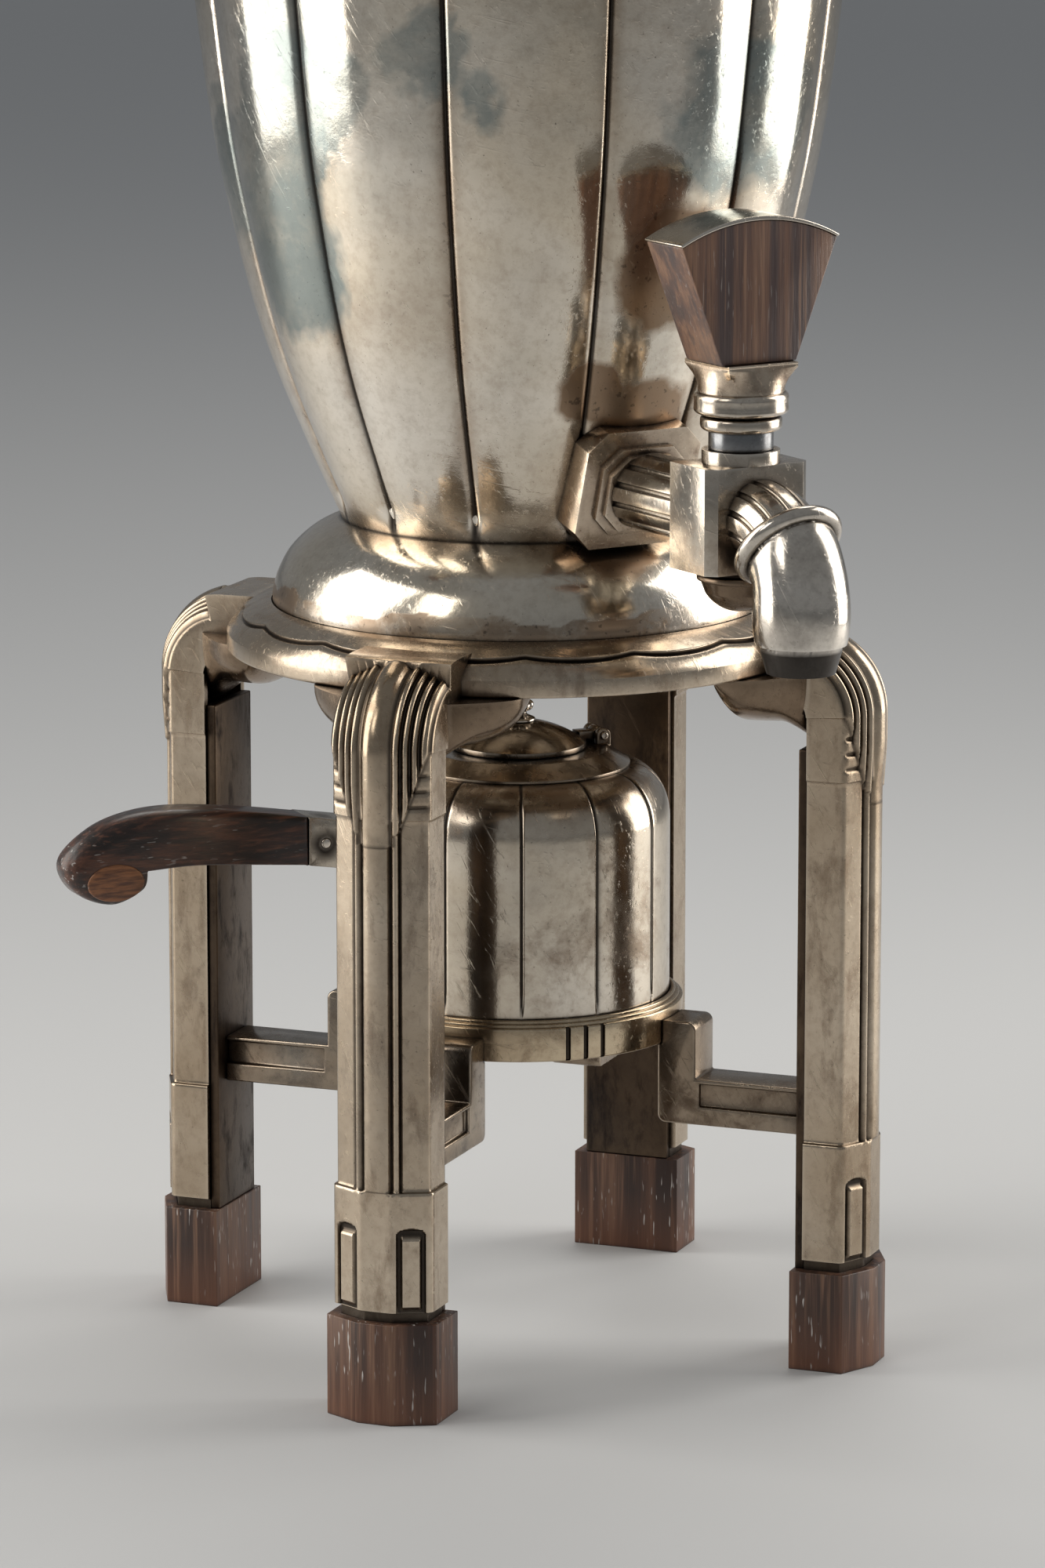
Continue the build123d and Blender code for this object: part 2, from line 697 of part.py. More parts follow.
def fan_block(foot_half, top_half, half_depth, side_height, crown):
    """A wooden fan: narrow foot, wide top with a low arch, flat front and back, facing along X."""
    outline = make_face([
        Line((-foot_half, 0), (foot_half, 0)), Line((foot_half, 0), (top_half, side_height)),
        ThreePointArc((top_half, side_height), (0, side_height + crown), (-top_half, side_height)),
        Line((-top_half, side_height), (-foot_half, 0))])
    return extrude(Plane.YZ * outline, half_depth, both=True)


def fan_plate(top_half, half_depth, side_height, crown):
    """The thin silver plate on the arched top of a fan, a little wider than the wood."""
    over = cap_plate_thickness / 2
    middle = side_height + crown
    low = ThreePointArc((top_half, side_height), (0, middle), (-top_half, side_height))
    high = ThreePointArc((-top_half - over, side_height + over), (0, middle + cap_plate_thickness),
                         (top_half + over, side_height + over))
    outline = make_face([low, Line(low @ 1, high @ 0), high, Line(high @ 1, low @ 0)])
    return extrude(Plane.YZ * outline, half_depth + over / 2, both=True)


def make_side_handles(envelope):
    """A wooden bow on each side of the vessel, pinned into two silver sockets."""
    pins = []
    top = side_upper_z + side_socket_half_height
    bottom = side_lower_z - side_socket_half_height
    inner_top = side_upper_z - side_socket_half_height
    inner_bottom = side_lower_z + side_socket_half_height
    belly_in = side_grip_r - side_grip_depth
    middle_z = (side_upper_z + side_lower_z) / 2
    grip = side_plate(make_face([
        Line((side_socket_r, top), (side_grip_r - side_grip_depth / 2, top)),
        ThreePointArc((side_grip_r - side_grip_depth / 2, top), (side_grip_r, middle_z),
                      (side_grip_r - side_grip_depth / 2, bottom)),
        Line((side_grip_r - side_grip_depth / 2, bottom), (side_socket_r, bottom)),
        Line((side_socket_r, bottom), (side_socket_r, inner_bottom)),
        ThreePointArc((side_socket_r, inner_bottom), (belly_in, middle_z), (side_socket_r, inner_top)),
        Line((side_socket_r, inner_top), (side_socket_r, top))]), side_grip_half_width)
    sockets = []
    for level in (side_upper_z, side_lower_z):
        half_height = side_socket_half_height - side_socket_wall
        half_width = side_socket_half_width - side_socket_wall
        tenon = Pos(side_socket_r - side_tenon_length / 2, 0, level) * Box(
            side_tenon_length, 2 * half_width, 2 * half_height)
        start = vessel_mouth_r
        socket = Pos((start + side_socket_r) / 2, 0, level) * Box(
            side_socket_r - start, 2 * side_socket_half_width, 2 * side_socket_half_height)
        pin = bar_along_y(side_pin_r, side_socket_half_width + side_pin_r / 3,
                          side_socket_r - side_tenon_length / 2, level)
        grip += tenon
        grip -= pin
        sockets.append(socket - tenon - pin - envelope)
        pins.append(pin)
    for name, azimuth in SIDES.items():
        keep("side_grip_" + name, turned(grip, azimuth))
        keep("side_sockets_" + name, turned(Compound(children=sockets), azimuth))
    both_sides = [turned(pin, azimuth) for azimuth in SIDES.values() for pin in pins]
    keep("side_handle_pins", Compound(children=both_sides))


def fluted(radius):
    """A round section with thin flutes, for the barrel and the elbow."""
    section = Circle(radius)
    for number in range(barrel_flutes):
        angle = 2 * math.pi * (number + 0.5) / barrel_flutes
        section -= Pos(radius * math.cos(angle), radius * math.sin(angle)) * Circle(flute_r)
    return section


def make_tap(envelope):
    """The fixed pieces of the tap, from the vessel's wall to the spout."""
    waterway = bar_along_x(waterway_r, vessel_base_r / 2, elbow_start_r, tap_z)

    tilt = math.radians(escutcheon_tilt)
    front = Plane(origin=(escutcheon_front_r, 0, tap_z), x_dir=(0, 1, 0),
                  z_dir=(math.cos(tilt), 0, -math.sin(tilt)))
    plate = Part()
    insets = (0, escutcheon_first_in, escutcheon_first_in + escutcheon_second_in)
    for number, inset in enumerate(insets):
        face = Rectangle(2 * (escutcheon_half_width - inset), 2 * (escutcheon_half_height - inset))
        face = chamfer(face.vertices(), escutcheon_corner)
        depth = barrel_r + number * escutcheon_step
        plate += front * Pos(0, 0, -barrel_r) * extrude(face, depth)
    plate_front = (len(insets) - 1) * escutcheon_step
    keep("tap_escutcheon", turned(plate - waterway, 0) - envelope - parts["vessel_foot"])

    block_back_r = tap_axis_r - block_half_depth
    barrel = Pos(vessel_base_r, 0, tap_z) * Rot(0, 90, 0) * extrude(
        fluted(barrel_r), block_back_r - vessel_base_r)
    behind = front * Pos(0, 0, plate_front - vessel_base_r) * extrude(
        Rectangle(2 * vessel_base_r, 2 * vessel_base_r), vessel_base_r)
    keep("tap_barrel", turned(barrel - behind - waterway, 0))

    block = Pos(tap_axis_r, 0, tap_z) * Box(2 * block_half_depth, 2 * block_half_width, 2 * block_half_height)
    front_edges = block.edges().filter_by(Axis.Z).sort_by(Axis.X)[-2:]
    block = chamfer(front_edges, block_chamfer)
    block += disc(block_ring_r, block_top_z, block_ring_height, tap_axis_r)
    plug_bore = disc(plug_r + running_clearance, block_bottom_z, 2 * block_half_height + block_ring_height,
                     tap_axis_r)
    keep("tap_block", turned(block - plug_bore - waterway, 0))

    bend_axis = Axis((elbow_start_r, 0, nozzle_bend_z), (0, 1, 0))
    start = Plane(origin=(elbow_start_r, 0, tap_z), x_dir=(0, 1, 0), z_dir=(1, 0, 0))
    elbow = revolve(start * fluted(barrel_r), bend_axis, elbow_turn)
    elbow -= revolve(start * Circle(waterway_r), bend_axis, elbow_turn)
    keep("tap_elbow", turned(elbow, 0))

    lip_z = nozzle_bottom_z + nozzle_tip_height + nozzle_lip_height
    belly_z = (nozzle_bend_z + lip_z) / 2
    middle_turn = (90 + elbow_turn) / 2
    ring_plane = bend_plane(elbow_turn)
    nozzle = loft([
        ring_plane * Circle(nozzle_root_r),
        bend_plane(middle_turn) * Circle((nozzle_root_r + nozzle_belly_r) / 2),
        bend_plane(90) * Circle(nozzle_belly_r),
        Pos(nozzle_axis_r, 0, belly_z) * Circle(nozzle_belly_r),
        Pos(nozzle_axis_r, 0, lip_z) * Circle(nozzle_end_r)])
    nozzle += Pos(nozzle_axis_r, 0, 0) * lathe_corners(
        (0, lip_z), (nozzle_lip_r, lip_z), (nozzle_lip_r, lip_z - nozzle_lip_height),
        (nozzle_tip_r, nozzle_bottom_z), (0, nozzle_bottom_z))
    nozzle += ring_plane * Rot(0, 0, 90) * Torus(barrel_r + bead_r + lift_clearance / 3, bead_r)
    nozzle -= revolve(ring_plane * Circle(nozzle_bore_r), bend_axis, 90 - elbow_turn)
    nozzle -= disc(nozzle_bore_r, nozzle_bottom_z, nozzle_bend_z - nozzle_bottom_z, nozzle_axis_r)
    keep("spout_nozzle", turned(nozzle, 0))


def bend_plane(turn):
    """The plane square to the tap's bend after a turn in degrees."""
    sine = math.sin(math.radians(turn))
    cosine = math.cos(math.radians(turn))
    return Plane(origin=(elbow_start_r + elbow_bend_r * sine, 0, nozzle_bend_z + elbow_bend_r * cosine),
                 x_dir=(0, 1, 0), z_dir=(cosine, 0, -sine))


def make_plug():
    """What turns with the tap's key: plug, collars, socket, key, washer and nut."""
    stud_z = block_bottom_z - stud_length
    plug = disc(stud_r, stud_z, stud_length)
    plug += disc(plug_r, block_bottom_z, plug_neck_z - block_bottom_z)
    plug += disc(plug_neck_r, plug_neck_z, plug_neck_height)
    plug += disc(plug_stem_r, small_collar_z, socket_z - small_collar_z)
    plug -= bar_along_y(waterway_r, plug_r, 0, tap_z)
    place = Pos(tap_axis_r, 0, 0)
    keep("tap_plug", turned(place * plug, 0))

    collars = tube(small_collar_r, plug_stem_r, small_collar_z, small_collar_height)
    collars += tube(collar_r, plug_stem_r, big_collar_z, collar_height)
    keep("plug_collars", turned(place * collars, 0))

    foot = Pos(0, 0, socket_z) * Circle(socket_foot_r)
    top = Pos(0, 0, key_z) * Rectangle(2 * key_half_depth, 2 * key_foot_half_width)
    keep("key_socket", turned(place * loft([foot, top], ruled=True), 0))

    key = fan_block(key_foot_half_width, key_top_half_width, key_half_depth, key_side_height, key_crown)
    keep("tap_key", turned(Pos(tap_axis_r, 0, key_z) * key, 0))
    key_plate = fan_plate(key_top_half_width, key_half_depth, key_side_height, key_crown)
    keep("tap_key_plate", turned(Pos(tap_axis_r, 0, key_z) * key_plate, 0))

    washer_z = block_bottom_z - turning_gap - washer_thickness
    washer = tube(washer_r, stud_r, washer_z, washer_thickness)
    keep("plug_washer", turned(place * washer, 0))

    first_z = washer_z - nut_band_height
    second_z = first_z - nut_step_height
    bottom_z = washer_z - nut_height
    nut = lathe(
        Line((0, washer_z), (nut_r, washer_z)), Line((nut_r, washer_z), (nut_r, first_z)),
        Line((nut_r, first_z), (nut_step_r, first_z)), Line((nut_step_r, first_z), (nut_crown_r, second_z)),
        crown_arc(nut_crown_r, second_z, bottom_z),
        Line((0, bottom_z), (0, washer_z)))
    nut -= disc(stud_r, stud_z, stud_length)
    keep("plug_nut", turned(place * nut, 0))


def make_burner():
    """The spirit burner: reservoir, collar, wick holder, wick, hinge pin and handle."""
    shoulder_z = burner_top_z - burner_shoulder_height
    outer = burner_edges(burner_r, burner_top_r, shoulder_z, burner_top_z, burner_z)
    inner = burner_edges(burner_r - burner_wall, burner_top_r, shoulder_z, burner_top_z - burner_wall,
                         burner_z + burner_wall)
    body = lathe(*outer) - lathe(*inner)
    body -= disc(burner_neck_r, burner_top_z - 2 * burner_wall, 3 * burner_wall)
    keep("burner_body", body)

    collar = lathe_corners(
        (burner_neck_r, burner_top_z), (collar_lip_r, burner_top_z),
        (collar_lip_r, burner_top_z + collar_lip_height), (burner_collar_top_r, collar_top_z),
        (burner_neck_r, collar_top_z))
    collar -= turned(hinge_clearance(), hinge_azimuth)
    collar += turned(hinge_lugs(), hinge_azimuth)
    keep("burner_collar", collar)
    pin = bar_along_y(hinge_pin_r, hinge_pin_half(), cap_hinge_r, hinge_z)
    keep("cap_hinge_pin", turned(pin, hinge_azimuth))

    disc_z = collar_top_z - wick_disc_height
    tube_bottom = collar_top_z - wick_tube_height
    holder = disc(burner_neck_r, disc_z, wick_disc_height)
    holder += disc(wick_tube_r, tube_bottom, wick_tube_height + wick_stand_out / 2)
    holder -= disc(wick_tube_r - wick_tube_wall, tube_bottom, wick_tube_height + wick_stand_out)
    keep("wick_holder", holder)
    wick_z = burner_z + burner_wall + wick_gap_below
    keep("wick", disc(wick_tube_r - wick_tube_wall, wick_z, collar_top_z + wick_stand_out - wick_z))


def burner_edges(radius, top_r, shoulder_z, top_z, bottom_z):
    """Closed outline of the burner's barrel with its rounded shoulder."""
    return [
        Line((0, bottom_z), (radius - burner_foot_chamfer, bottom_z)),
        Line((radius - burner_foot_chamfer, bottom_z), (radius, bottom_z + burner_foot_chamfer)),
        Line((radius, bottom_z + burner_foot_chamfer), (radius, shoulder_z)),
        EllipticalCenterArc((top_r, shoulder_z), radius - top_r, top_z - shoulder_z, arc_size=90),
        Line((top_r, top_z), (0, top_z)),
        Line((0, top_z), (0, bottom_z)),
    ]


def hinge_pin_half():
    """Half the length of the cap's hinge pin."""
    return hinge_tongue_half_width + hinge_gap + hinge_lug_thickness + hinge_pin_head


def hinge_clearance():
    """Room in the collar for the cap's tongue to turn in."""
    radius = hinge_barrel_r + hinge_gap
    return bar_along_y(radius, hinge_tongue_half_width + hinge_gap, cap_hinge_r, hinge_z)


def hinge_lugs():
    """Two ears on the collar that hold the pin."""
    reach = hinge_tongue_half_width + hinge_gap + hinge_lug_thickness
    ears = bar_along_y(hinge_barrel_r, reach, cap_hinge_r, hinge_z)
    ears += Pos(cap_hinge_r, 0, (collar_top_z - burner_collar_height / 2 + hinge_z) / 2) * Box(
        2 * hinge_barrel_r, 2 * reach, hinge_z - collar_top_z + burner_collar_height / 2)
    ears -= bar_along_y(2 * hinge_barrel_r, hinge_tongue_half_width + hinge_gap, cap_hinge_r, hinge_z)
    return ears - bar_along_y(hinge_pin_r, reach, cap_hinge_r, hinge_z)


def make_cap():
    """The hinged snuffing cap with its finial."""
    top_z = cap_z + burner_cap_height
    rim_z = cap_z + burner_cap_rim
    middle_z = rim_z + 0.66 * (top_z - rim_z)
    outer = ThreePointArc((burner_cap_r, rim_z), (burner_cap_r * 0.62, middle_z), (finial_disc_r, top_z))
    inner_r = burner_cap_r - burner_cap_wall
    inner = ThreePointArc((inner_r, rim_z), (inner_r * 0.62, middle_z - burner_cap_wall),
                          (finial_disc_r, top_z - burner_cap_wall))
    cap = lathe(
        Line((inner_r, cap_z), (burner_cap_r, cap_z)),
        Line((burner_cap_r, cap_z), (burner_cap_r, rim_z)), outer,
        Line((finial_disc_r, top_z), (0, top_z)), Line((0, top_z), (0, top_z - burner_cap_wall)),
        Line((0, top_z - burner_cap_wall), (finial_disc_r, top_z - burner_cap_wall)), inner,
        Line((inner_r, rim_z), (inner_r, cap_z)))
    tongue = Pos((burner_cap_r + cap_hinge_r) / 2, 0, hinge_z) * Box(
        cap_hinge_r - burner_cap_r + 2 * burner_cap_wall, 2 * hinge_tongue_half_width, 2 * hinge_pin_r)
    tongue -= disc(inner_r, cap_z, burner_cap_height)
    tongue += bar_along_y(hinge_barrel_r, hinge_tongue_half_width, cap_hinge_r, hinge_z)
    tongue -= bar_along_y(hinge_pin_r + running_clearance, hinge_pin_half(), cap_hinge_r, hinge_z)
    keep("burner_cap", cap + turned(tongue, hinge_azimuth))

    finial = disc(finial_disc_r, top_z, finial_disc_height)
    ball_z = top_z + finial_disc_height + finial_ball_r
    for number in range(finial_lobes):
        angle = 2 * math.pi * number / finial_lobes
        finial += Pos(finial_ball_r * math.cos(angle), finial_ball_r * math.sin(angle), ball_z) * Sphere(
            finial_ball_r)
    finial += disc(finial_ball_r, top_z + finial_disc_height, finial_height - finial_disc_height)
    keep("cap_finial", finial)


def make_handle():
    """The burner's handle: a silver socket, a curved wooden grip and the pin through both."""
    root_z = burner_z + shank_root_z
    end_z = burner_z + shank_end_z
    half_height = shank_height / 2
    root_r = burner_r - burner_wall / 2
    shank = side_plate(polygon(
        (root_r - shank_wall, root_z), (shank_outer_r, end_z), (shank_outer_r, end_z + shank_height),
        (root_r - shank_wall, root_z + shank_height)), shank_half_width)
    tenon_r = shank_outer_r - shank_socket_depth
    slope = (end_z - root_z) / (shank_outer_r - root_r + shank_wall)
    low = end_z - slope * shank_socket_depth + shank_wall
    tenon = side_plate(polygon(
        (tenon_r, low), (shank_outer_r, end_z + shank_wall),
        (shank_outer_r, end_z + shank_height - shank_wall),
        (tenon_r, low + shank_height - 2 * shank_wall)), shank_half_width - shank_wall)
    pin_r = shank_outer_r - grip_pin_inset
    pin_z = end_z + half_height - slope * grip_pin_inset
    pin = bar_along_y(grip_pin_r, shank_half_width + grip_pin_r / 4, pin_r, pin_z)
    barrel = disc(burner_r, burner_z, burner_height)
    keep("handle_socket", turned(shank - tenon - pin - barrel, handle_azimuth))
    keep("handle_pin", turned(pin, handle_azimuth))

    lift = [(radius, burner_z + height) for radius, height in grip_top + grip_tip]
    top_start = (shank_outer_r, end_z + shank_height)
    under_end = (shank_outer_r, end_z)
    under_middle = (grip_under[0], burner_z + grip_under[1])
    outline = make_face([
        Spline(top_start, *lift),
        ThreePointArc(lift[-1], under_middle, under_end),
        Line(under_end, top_start)])
    grip = side_plate(outline, grip_half_width)
    keep("handle_grip", turned(grip + tenon - pin, handle_azimuth))


def make_all():
    """Make every piece and write one file for each."""
    keep("stand_ring", make_ring())
    make_legs()
    make_tray()
    envelope = make_vessel()
    make_lid()
    make_side_handles(turned(envelope, 90))
    make_tap(envelope)
    make_plug()
    make_burner()
    make_cap()
    make_handle()

    boxes = [shape.bounding_box() for shape in parts.values()]
    middle_x = (min(box.min.X for box in boxes) + max(box.max.X for box in boxes)) / 2
    middle_y = (min(box.min.Y for box in boxes) + max(box.max.Y for box in boxes)) / 2
    os.makedirs("parts", exist_ok=True)
    for name, shape in parts.items():
        export_step(Pos(-middle_x, -middle_y, 0) * shape, os.path.join("parts", name + ".step"))
    print("pieces", len(parts))
    print("vessel axis at", round(-middle_x, 4), round(-middle_y, 4))
    print("top at", round(max(box.max.Z for box in boxes), 3))


make_all()
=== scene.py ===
import math

import bmesh
import bpy
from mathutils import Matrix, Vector


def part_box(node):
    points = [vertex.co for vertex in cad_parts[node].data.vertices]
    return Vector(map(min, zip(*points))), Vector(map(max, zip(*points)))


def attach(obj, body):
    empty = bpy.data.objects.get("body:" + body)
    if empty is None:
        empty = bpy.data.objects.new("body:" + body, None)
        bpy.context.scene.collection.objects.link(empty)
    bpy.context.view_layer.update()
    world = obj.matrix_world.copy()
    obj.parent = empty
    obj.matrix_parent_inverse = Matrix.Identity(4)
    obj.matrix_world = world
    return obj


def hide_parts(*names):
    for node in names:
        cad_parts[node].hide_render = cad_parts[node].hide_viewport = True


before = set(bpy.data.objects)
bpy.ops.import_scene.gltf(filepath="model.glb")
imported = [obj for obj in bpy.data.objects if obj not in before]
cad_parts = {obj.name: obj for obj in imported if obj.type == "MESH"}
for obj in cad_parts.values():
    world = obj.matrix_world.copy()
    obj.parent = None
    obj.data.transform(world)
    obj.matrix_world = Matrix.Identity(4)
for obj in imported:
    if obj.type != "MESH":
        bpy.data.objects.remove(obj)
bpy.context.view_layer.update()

# The samovar's looks. Lengths are in millimetres from the vessel's axis and the table until point() turns
# them into the frame's metres. Azimuths are degrees round that axis: 0 towards the tap, 90 towards +X.
AXIS_Y = (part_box("stand_ring")[0][1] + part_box("stand_ring")[1][1]) / 2
STAND_TURN = -7.8
LEGS = {"front_right": 45.0, "back_right": 135.0, "back_left": 225.0, "front_left": 315.0}
PHOTO_AZIMUTH = -31.5


def point(x, y, z):
    """A point in the frame, in metres."""
    return Vector((x / 1000, y / 1000 + AXIS_Y, z / 1000))


def box_of(node):
    """The low and high corners of a CAD node, in millimetres."""
    return [(x * 1000, (y - AXIS_Y) * 1000, z * 1000) for x, y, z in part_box(node)]


def polar(radius, azimuth, z):
    """Millimetres from a radius, an azimuth and a height."""
    a = math.radians(azimuth)
    return (radius * math.sin(a), -radius * math.cos(a), z)


def mixed(first, second, share):
    return first + (second - first) * share


def bell(distance, width, power=2):
    """A bell curve, 1 at no distance and 0 well away."""
    return math.exp(-(distance / width) ** power)


def step(value, low, high):
    """Smooth step from 0 at low to 1 at high."""
    t = min(max((value - low) / (high - low), 0.0), 1.0)
    return t * t * (3 - 2 * t)


def leg_frame(azimuth):
    """Turns (radial, tangential, height) into x, y, z at an azimuth."""
    a = math.radians(azimuth)
    sine, cosine = math.sin(a), math.cos(a)
    return lambda u, v, z: (u * sine + v * cosine, -u * cosine + v * sine, z)


# Materials

class Skin:
    """A material round one Principled shader, with short calls that add its nodes."""

    def __init__(self, name):
        self.material = bpy.data.materials.new(name)
        self.material.use_nodes = True
        self.tree = self.material.node_tree
        self.tree.nodes.clear()
        self.shader = self.node("ShaderNodeBsdfPrincipled")
        self.node("ShaderNodeOutputMaterial", {"Surface": self.shader.outputs["BSDF"]})

    def fill(self, node, inputs):
        """Gives a node's inputs other nodes' outputs or plain values."""
        for key, value in inputs.items():
            socket = node.inputs[key]
            if isinstance(value, bpy.types.NodeSocket):
                self.tree.links.new(value, socket)
            else:
                socket.default_value = (*value, 1) if socket.type == "RGBA" else value

    def node(self, kind, inputs=None, **settings):
        node = self.tree.nodes.new(kind)
        for setting, value in settings.items():
            setattr(node, setting, value)
        self.fill(node, inputs or {})
        return node

    def coordinates(self, scale=(1, 1, 1), turn=(0, 0, 0), shift=0.0):
        """The object's coordinates, turned, then scaled and shifted."""
        vector = self.node("ShaderNodeTexCoord").outputs["Object"]
        angles = [math.radians(t) for t in turn]
        turned = self.node("ShaderNodeMapping", {"Vector": vector, "Rotation": angles})
        scaled = self.node("ShaderNodeMapping", {"Vector": turned.outputs["Vector"], "Scale": scale,
                                                 "Location": (shift, shift, shift)})
        return scaled.outputs["Vector"]

    def noise(self, vector, scale, detail, rough=0.55, distortion=0.0):
        return self.node("ShaderNodeTexNoise", {"Vector": vector, "Scale": scale, "Detail": detail,
                                                "Roughness": rough, "Distortion": distortion}).outputs["Fac"]

    def spread(self, value, low, high, to_low=0.0, to_high=1.0):
        """Stretches a value's range and clamps it."""
        return self.node("ShaderNodeMapRange", {"Value": value, "From Min": low, "From Max": high,
                                                "To Min": to_low, "To Max": to_high}).outputs["Result"]

    def mix(self, factor, first, second):
        """Mixes two colours."""
        return self.node("ShaderNodeMix", {0: factor, 6: first, 7: second}, data_type="RGBA").outputs[2]

    def combine(self, operation, first, second):
        return self.node("ShaderNodeMath", {0: first, 1: second}, operation=operation).outputs[0]

    def times(self, first, second):
        return self.combine("MULTIPLY", first, second)

    def most(self, first, second):
        return self.combine("MAXIMUM", first, second)

    def plus(self, first, second):
        return self.combine("ADD", first, second)

    def bump(self, height, strength, distance, below=None):
        node = self.node("ShaderNodeBump", {"Height": height, "Strength": strength, "Distance": distance})
        if below:
            self.fill(node, {"Normal": below})
        return node.outputs["Normal"]

    def occluded(self, distance, clear, full, inside=False):
        """1 where something within a distance hides a surface, or near its own edges if inside is set."""
        node = self.node("ShaderNodeAmbientOcclusion", {"Distance": distance}, samples=4, inside=inside)
        return self.spread(node.outputs["AO"], clear, full)

    def painted(self, name):
        """A mask that a mesh carries as an attribute."""
        return self.node("ShaderNodeAttribute", attribute_name=name).outputs["Fac"]

    def near(self, places, uneven, loose):
        """A mask of soft patches round points, each (x, y, z, radius) in millimetres, with ragged edges."""
        ragged = self.spread(uneven, 0.3, 0.7, -loose, loose)
        result = 0.0
        for x, y, z, radius in places:
            away = self.node("ShaderNodeVectorMath", {0: self.coordinates(), 1: point(x, y, z)},
                             operation="DISTANCE").outputs["Value"]
            away = self.plus(away, self.times(ragged, radius / 1000))
            result = self.most(self.spread(away, radius / 1000, radius / 1300), result)
        return result


# Near black for dirt and painted shade in crevices
SHADE_AND_DIRT_BLACK = (0.022, 0.018, 0.016)
PIT_BROWN = (0.07, 0.055, 0.045)
WAX = (0.58, 0.55, 0.52)
# Near black for painted shade in the wood's tight corners and joins
WOOD_SHADE_BLACK = (0.02, 0.012, 0.01)
GRAIN_STRETCH = 5.0


def silver(name, bright, warm, brown, blue, film, patina, crevice=0.95, rough=(0.13, 0.3), wave=0.3,
           places=(), loose=0.5, cool_places=(), cloud=60, tall=1.0):
    """Aged silver: worn bright metal under brown and blue-grey tarnish, with dark dirt and painted shade in
    the crevices.
    """
    skin = Skin(name)
    vector = skin.coordinates()
    slow = skin.noise(vector, 17, 3, 0.5, 0.5)
    clouds = skin.noise(skin.coordinates((1, 1, tall), shift=3.1), cloud, 7, 0.68, 0.25)
    stains = skin.noise(skin.coordinates(shift=7.7), 15, 5, 0.6, 0.3)
    fine = skin.noise(vector, 420, 4, 0.7)
    specks = skin.noise(vector, 1300, 2, 0.6)
    coarse = skin.noise(skin.coordinates(shift=5.5), 620, 2, 0.6)
    rubbed = skin.noise(skin.coordinates((1, 1, 0.03), (28, 14, 0)), 900, 3, 0.65)
    swirl = skin.noise(skin.coordinates((0.04, 1, 1), (10, -24, 35)), 760, 3, 0.65)

    # Brown film, then blue-grey patches
    metal = skin.mix(skin.spread(slow, 0.36, 0.62), bright, warm)
    metal = skin.mix(skin.spread(fine, 0.45, 0.75, 0.0, 0.3), metal, brown)
    mask = skin.times(skin.spread(clouds, 0.50, 0.66), film)
    near = skin.times(skin.occluded(0.012, 0.92, 0.45), skin.spread(clouds, 0.36, 0.56, 0.25, 0.85))
    stained = skin.times(skin.painted("stain"), skin.spread(clouds, 0.40, 0.55, 0.35, 1.0))
    mask = skin.most(skin.most(mask, near), stained)
    if places:
        mask = skin.most(mask, skin.near(places, stains, loose))
    metal = skin.mix(mask, metal, brown)
    cool = skin.times(skin.spread(stains, 0.50, 0.68), patina)
    if cool_places:
        cool = skin.most(cool, skin.near(cool_places, stains, 0.9))
    cool = skin.times(cool, skin.spread(clouds, 0.34, 0.60, 0.35, 0.85))
    metal = skin.mix(cool, metal, blue)

    # Dirt and painted shade in the crevices, pits and worn edges
    dirt_and_shade_mask = skin.most(skin.occluded(0.0028, 0.78, 0.32), skin.occluded(0.0009, 0.80, 0.40))
    dirt_and_shade_mask = skin.times(dirt_and_shade_mask, skin.spread(fine, 0.25, 0.55, 0.65, 1.0))
    dirt_and_shade_mask = skin.times(skin.most(dirt_and_shade_mask, skin.painted("dirt")), crevice)
    metal = skin.mix(dirt_and_shade_mask, metal, SHADE_AND_DIRT_BLACK)
    coarse = skin.times(skin.spread(coarse, 0.63, 0.69, 0.0, 0.6), mask)
    metal = skin.mix(skin.most(skin.spread(specks, 0.69, 0.76, 0.0, 0.6), coarse), metal, PIT_BROWN)
    worn = skin.occluded(0.0010, 0.86, 0.60, inside=True)
    worn = skin.times(worn, skin.spread(dirt_and_shade_mask, 0.25, 0.0, 0.0, 0.75))
    metal = skin.mix(worn, metal, bright)

    # Fine scratches, dull tarnish and slight dents
    scratched = skin.most(skin.spread(rubbed, 0.60, 0.70, 0.0, 0.14),
                          skin.spread(swirl, 0.62, 0.72, 0.0, 0.12))
    shine = skin.plus(skin.spread(skin.most(mask, dirt_and_shade_mask), 0.0, 0.9, *rough), scratched)
    normal = skin.bump(skin.noise(vector, 34, 2, 0.5), wave, 0.0022)
    normal = skin.bump(scratched, 0.35, 0.0003, normal)
    normal = skin.bump(fine, 0.10, 0.0003, normal)
    skin.fill(skin.shader, {"Base Color": metal, "Metallic": 1.0, "Roughness": shine, "Normal": normal})
    return skin.material


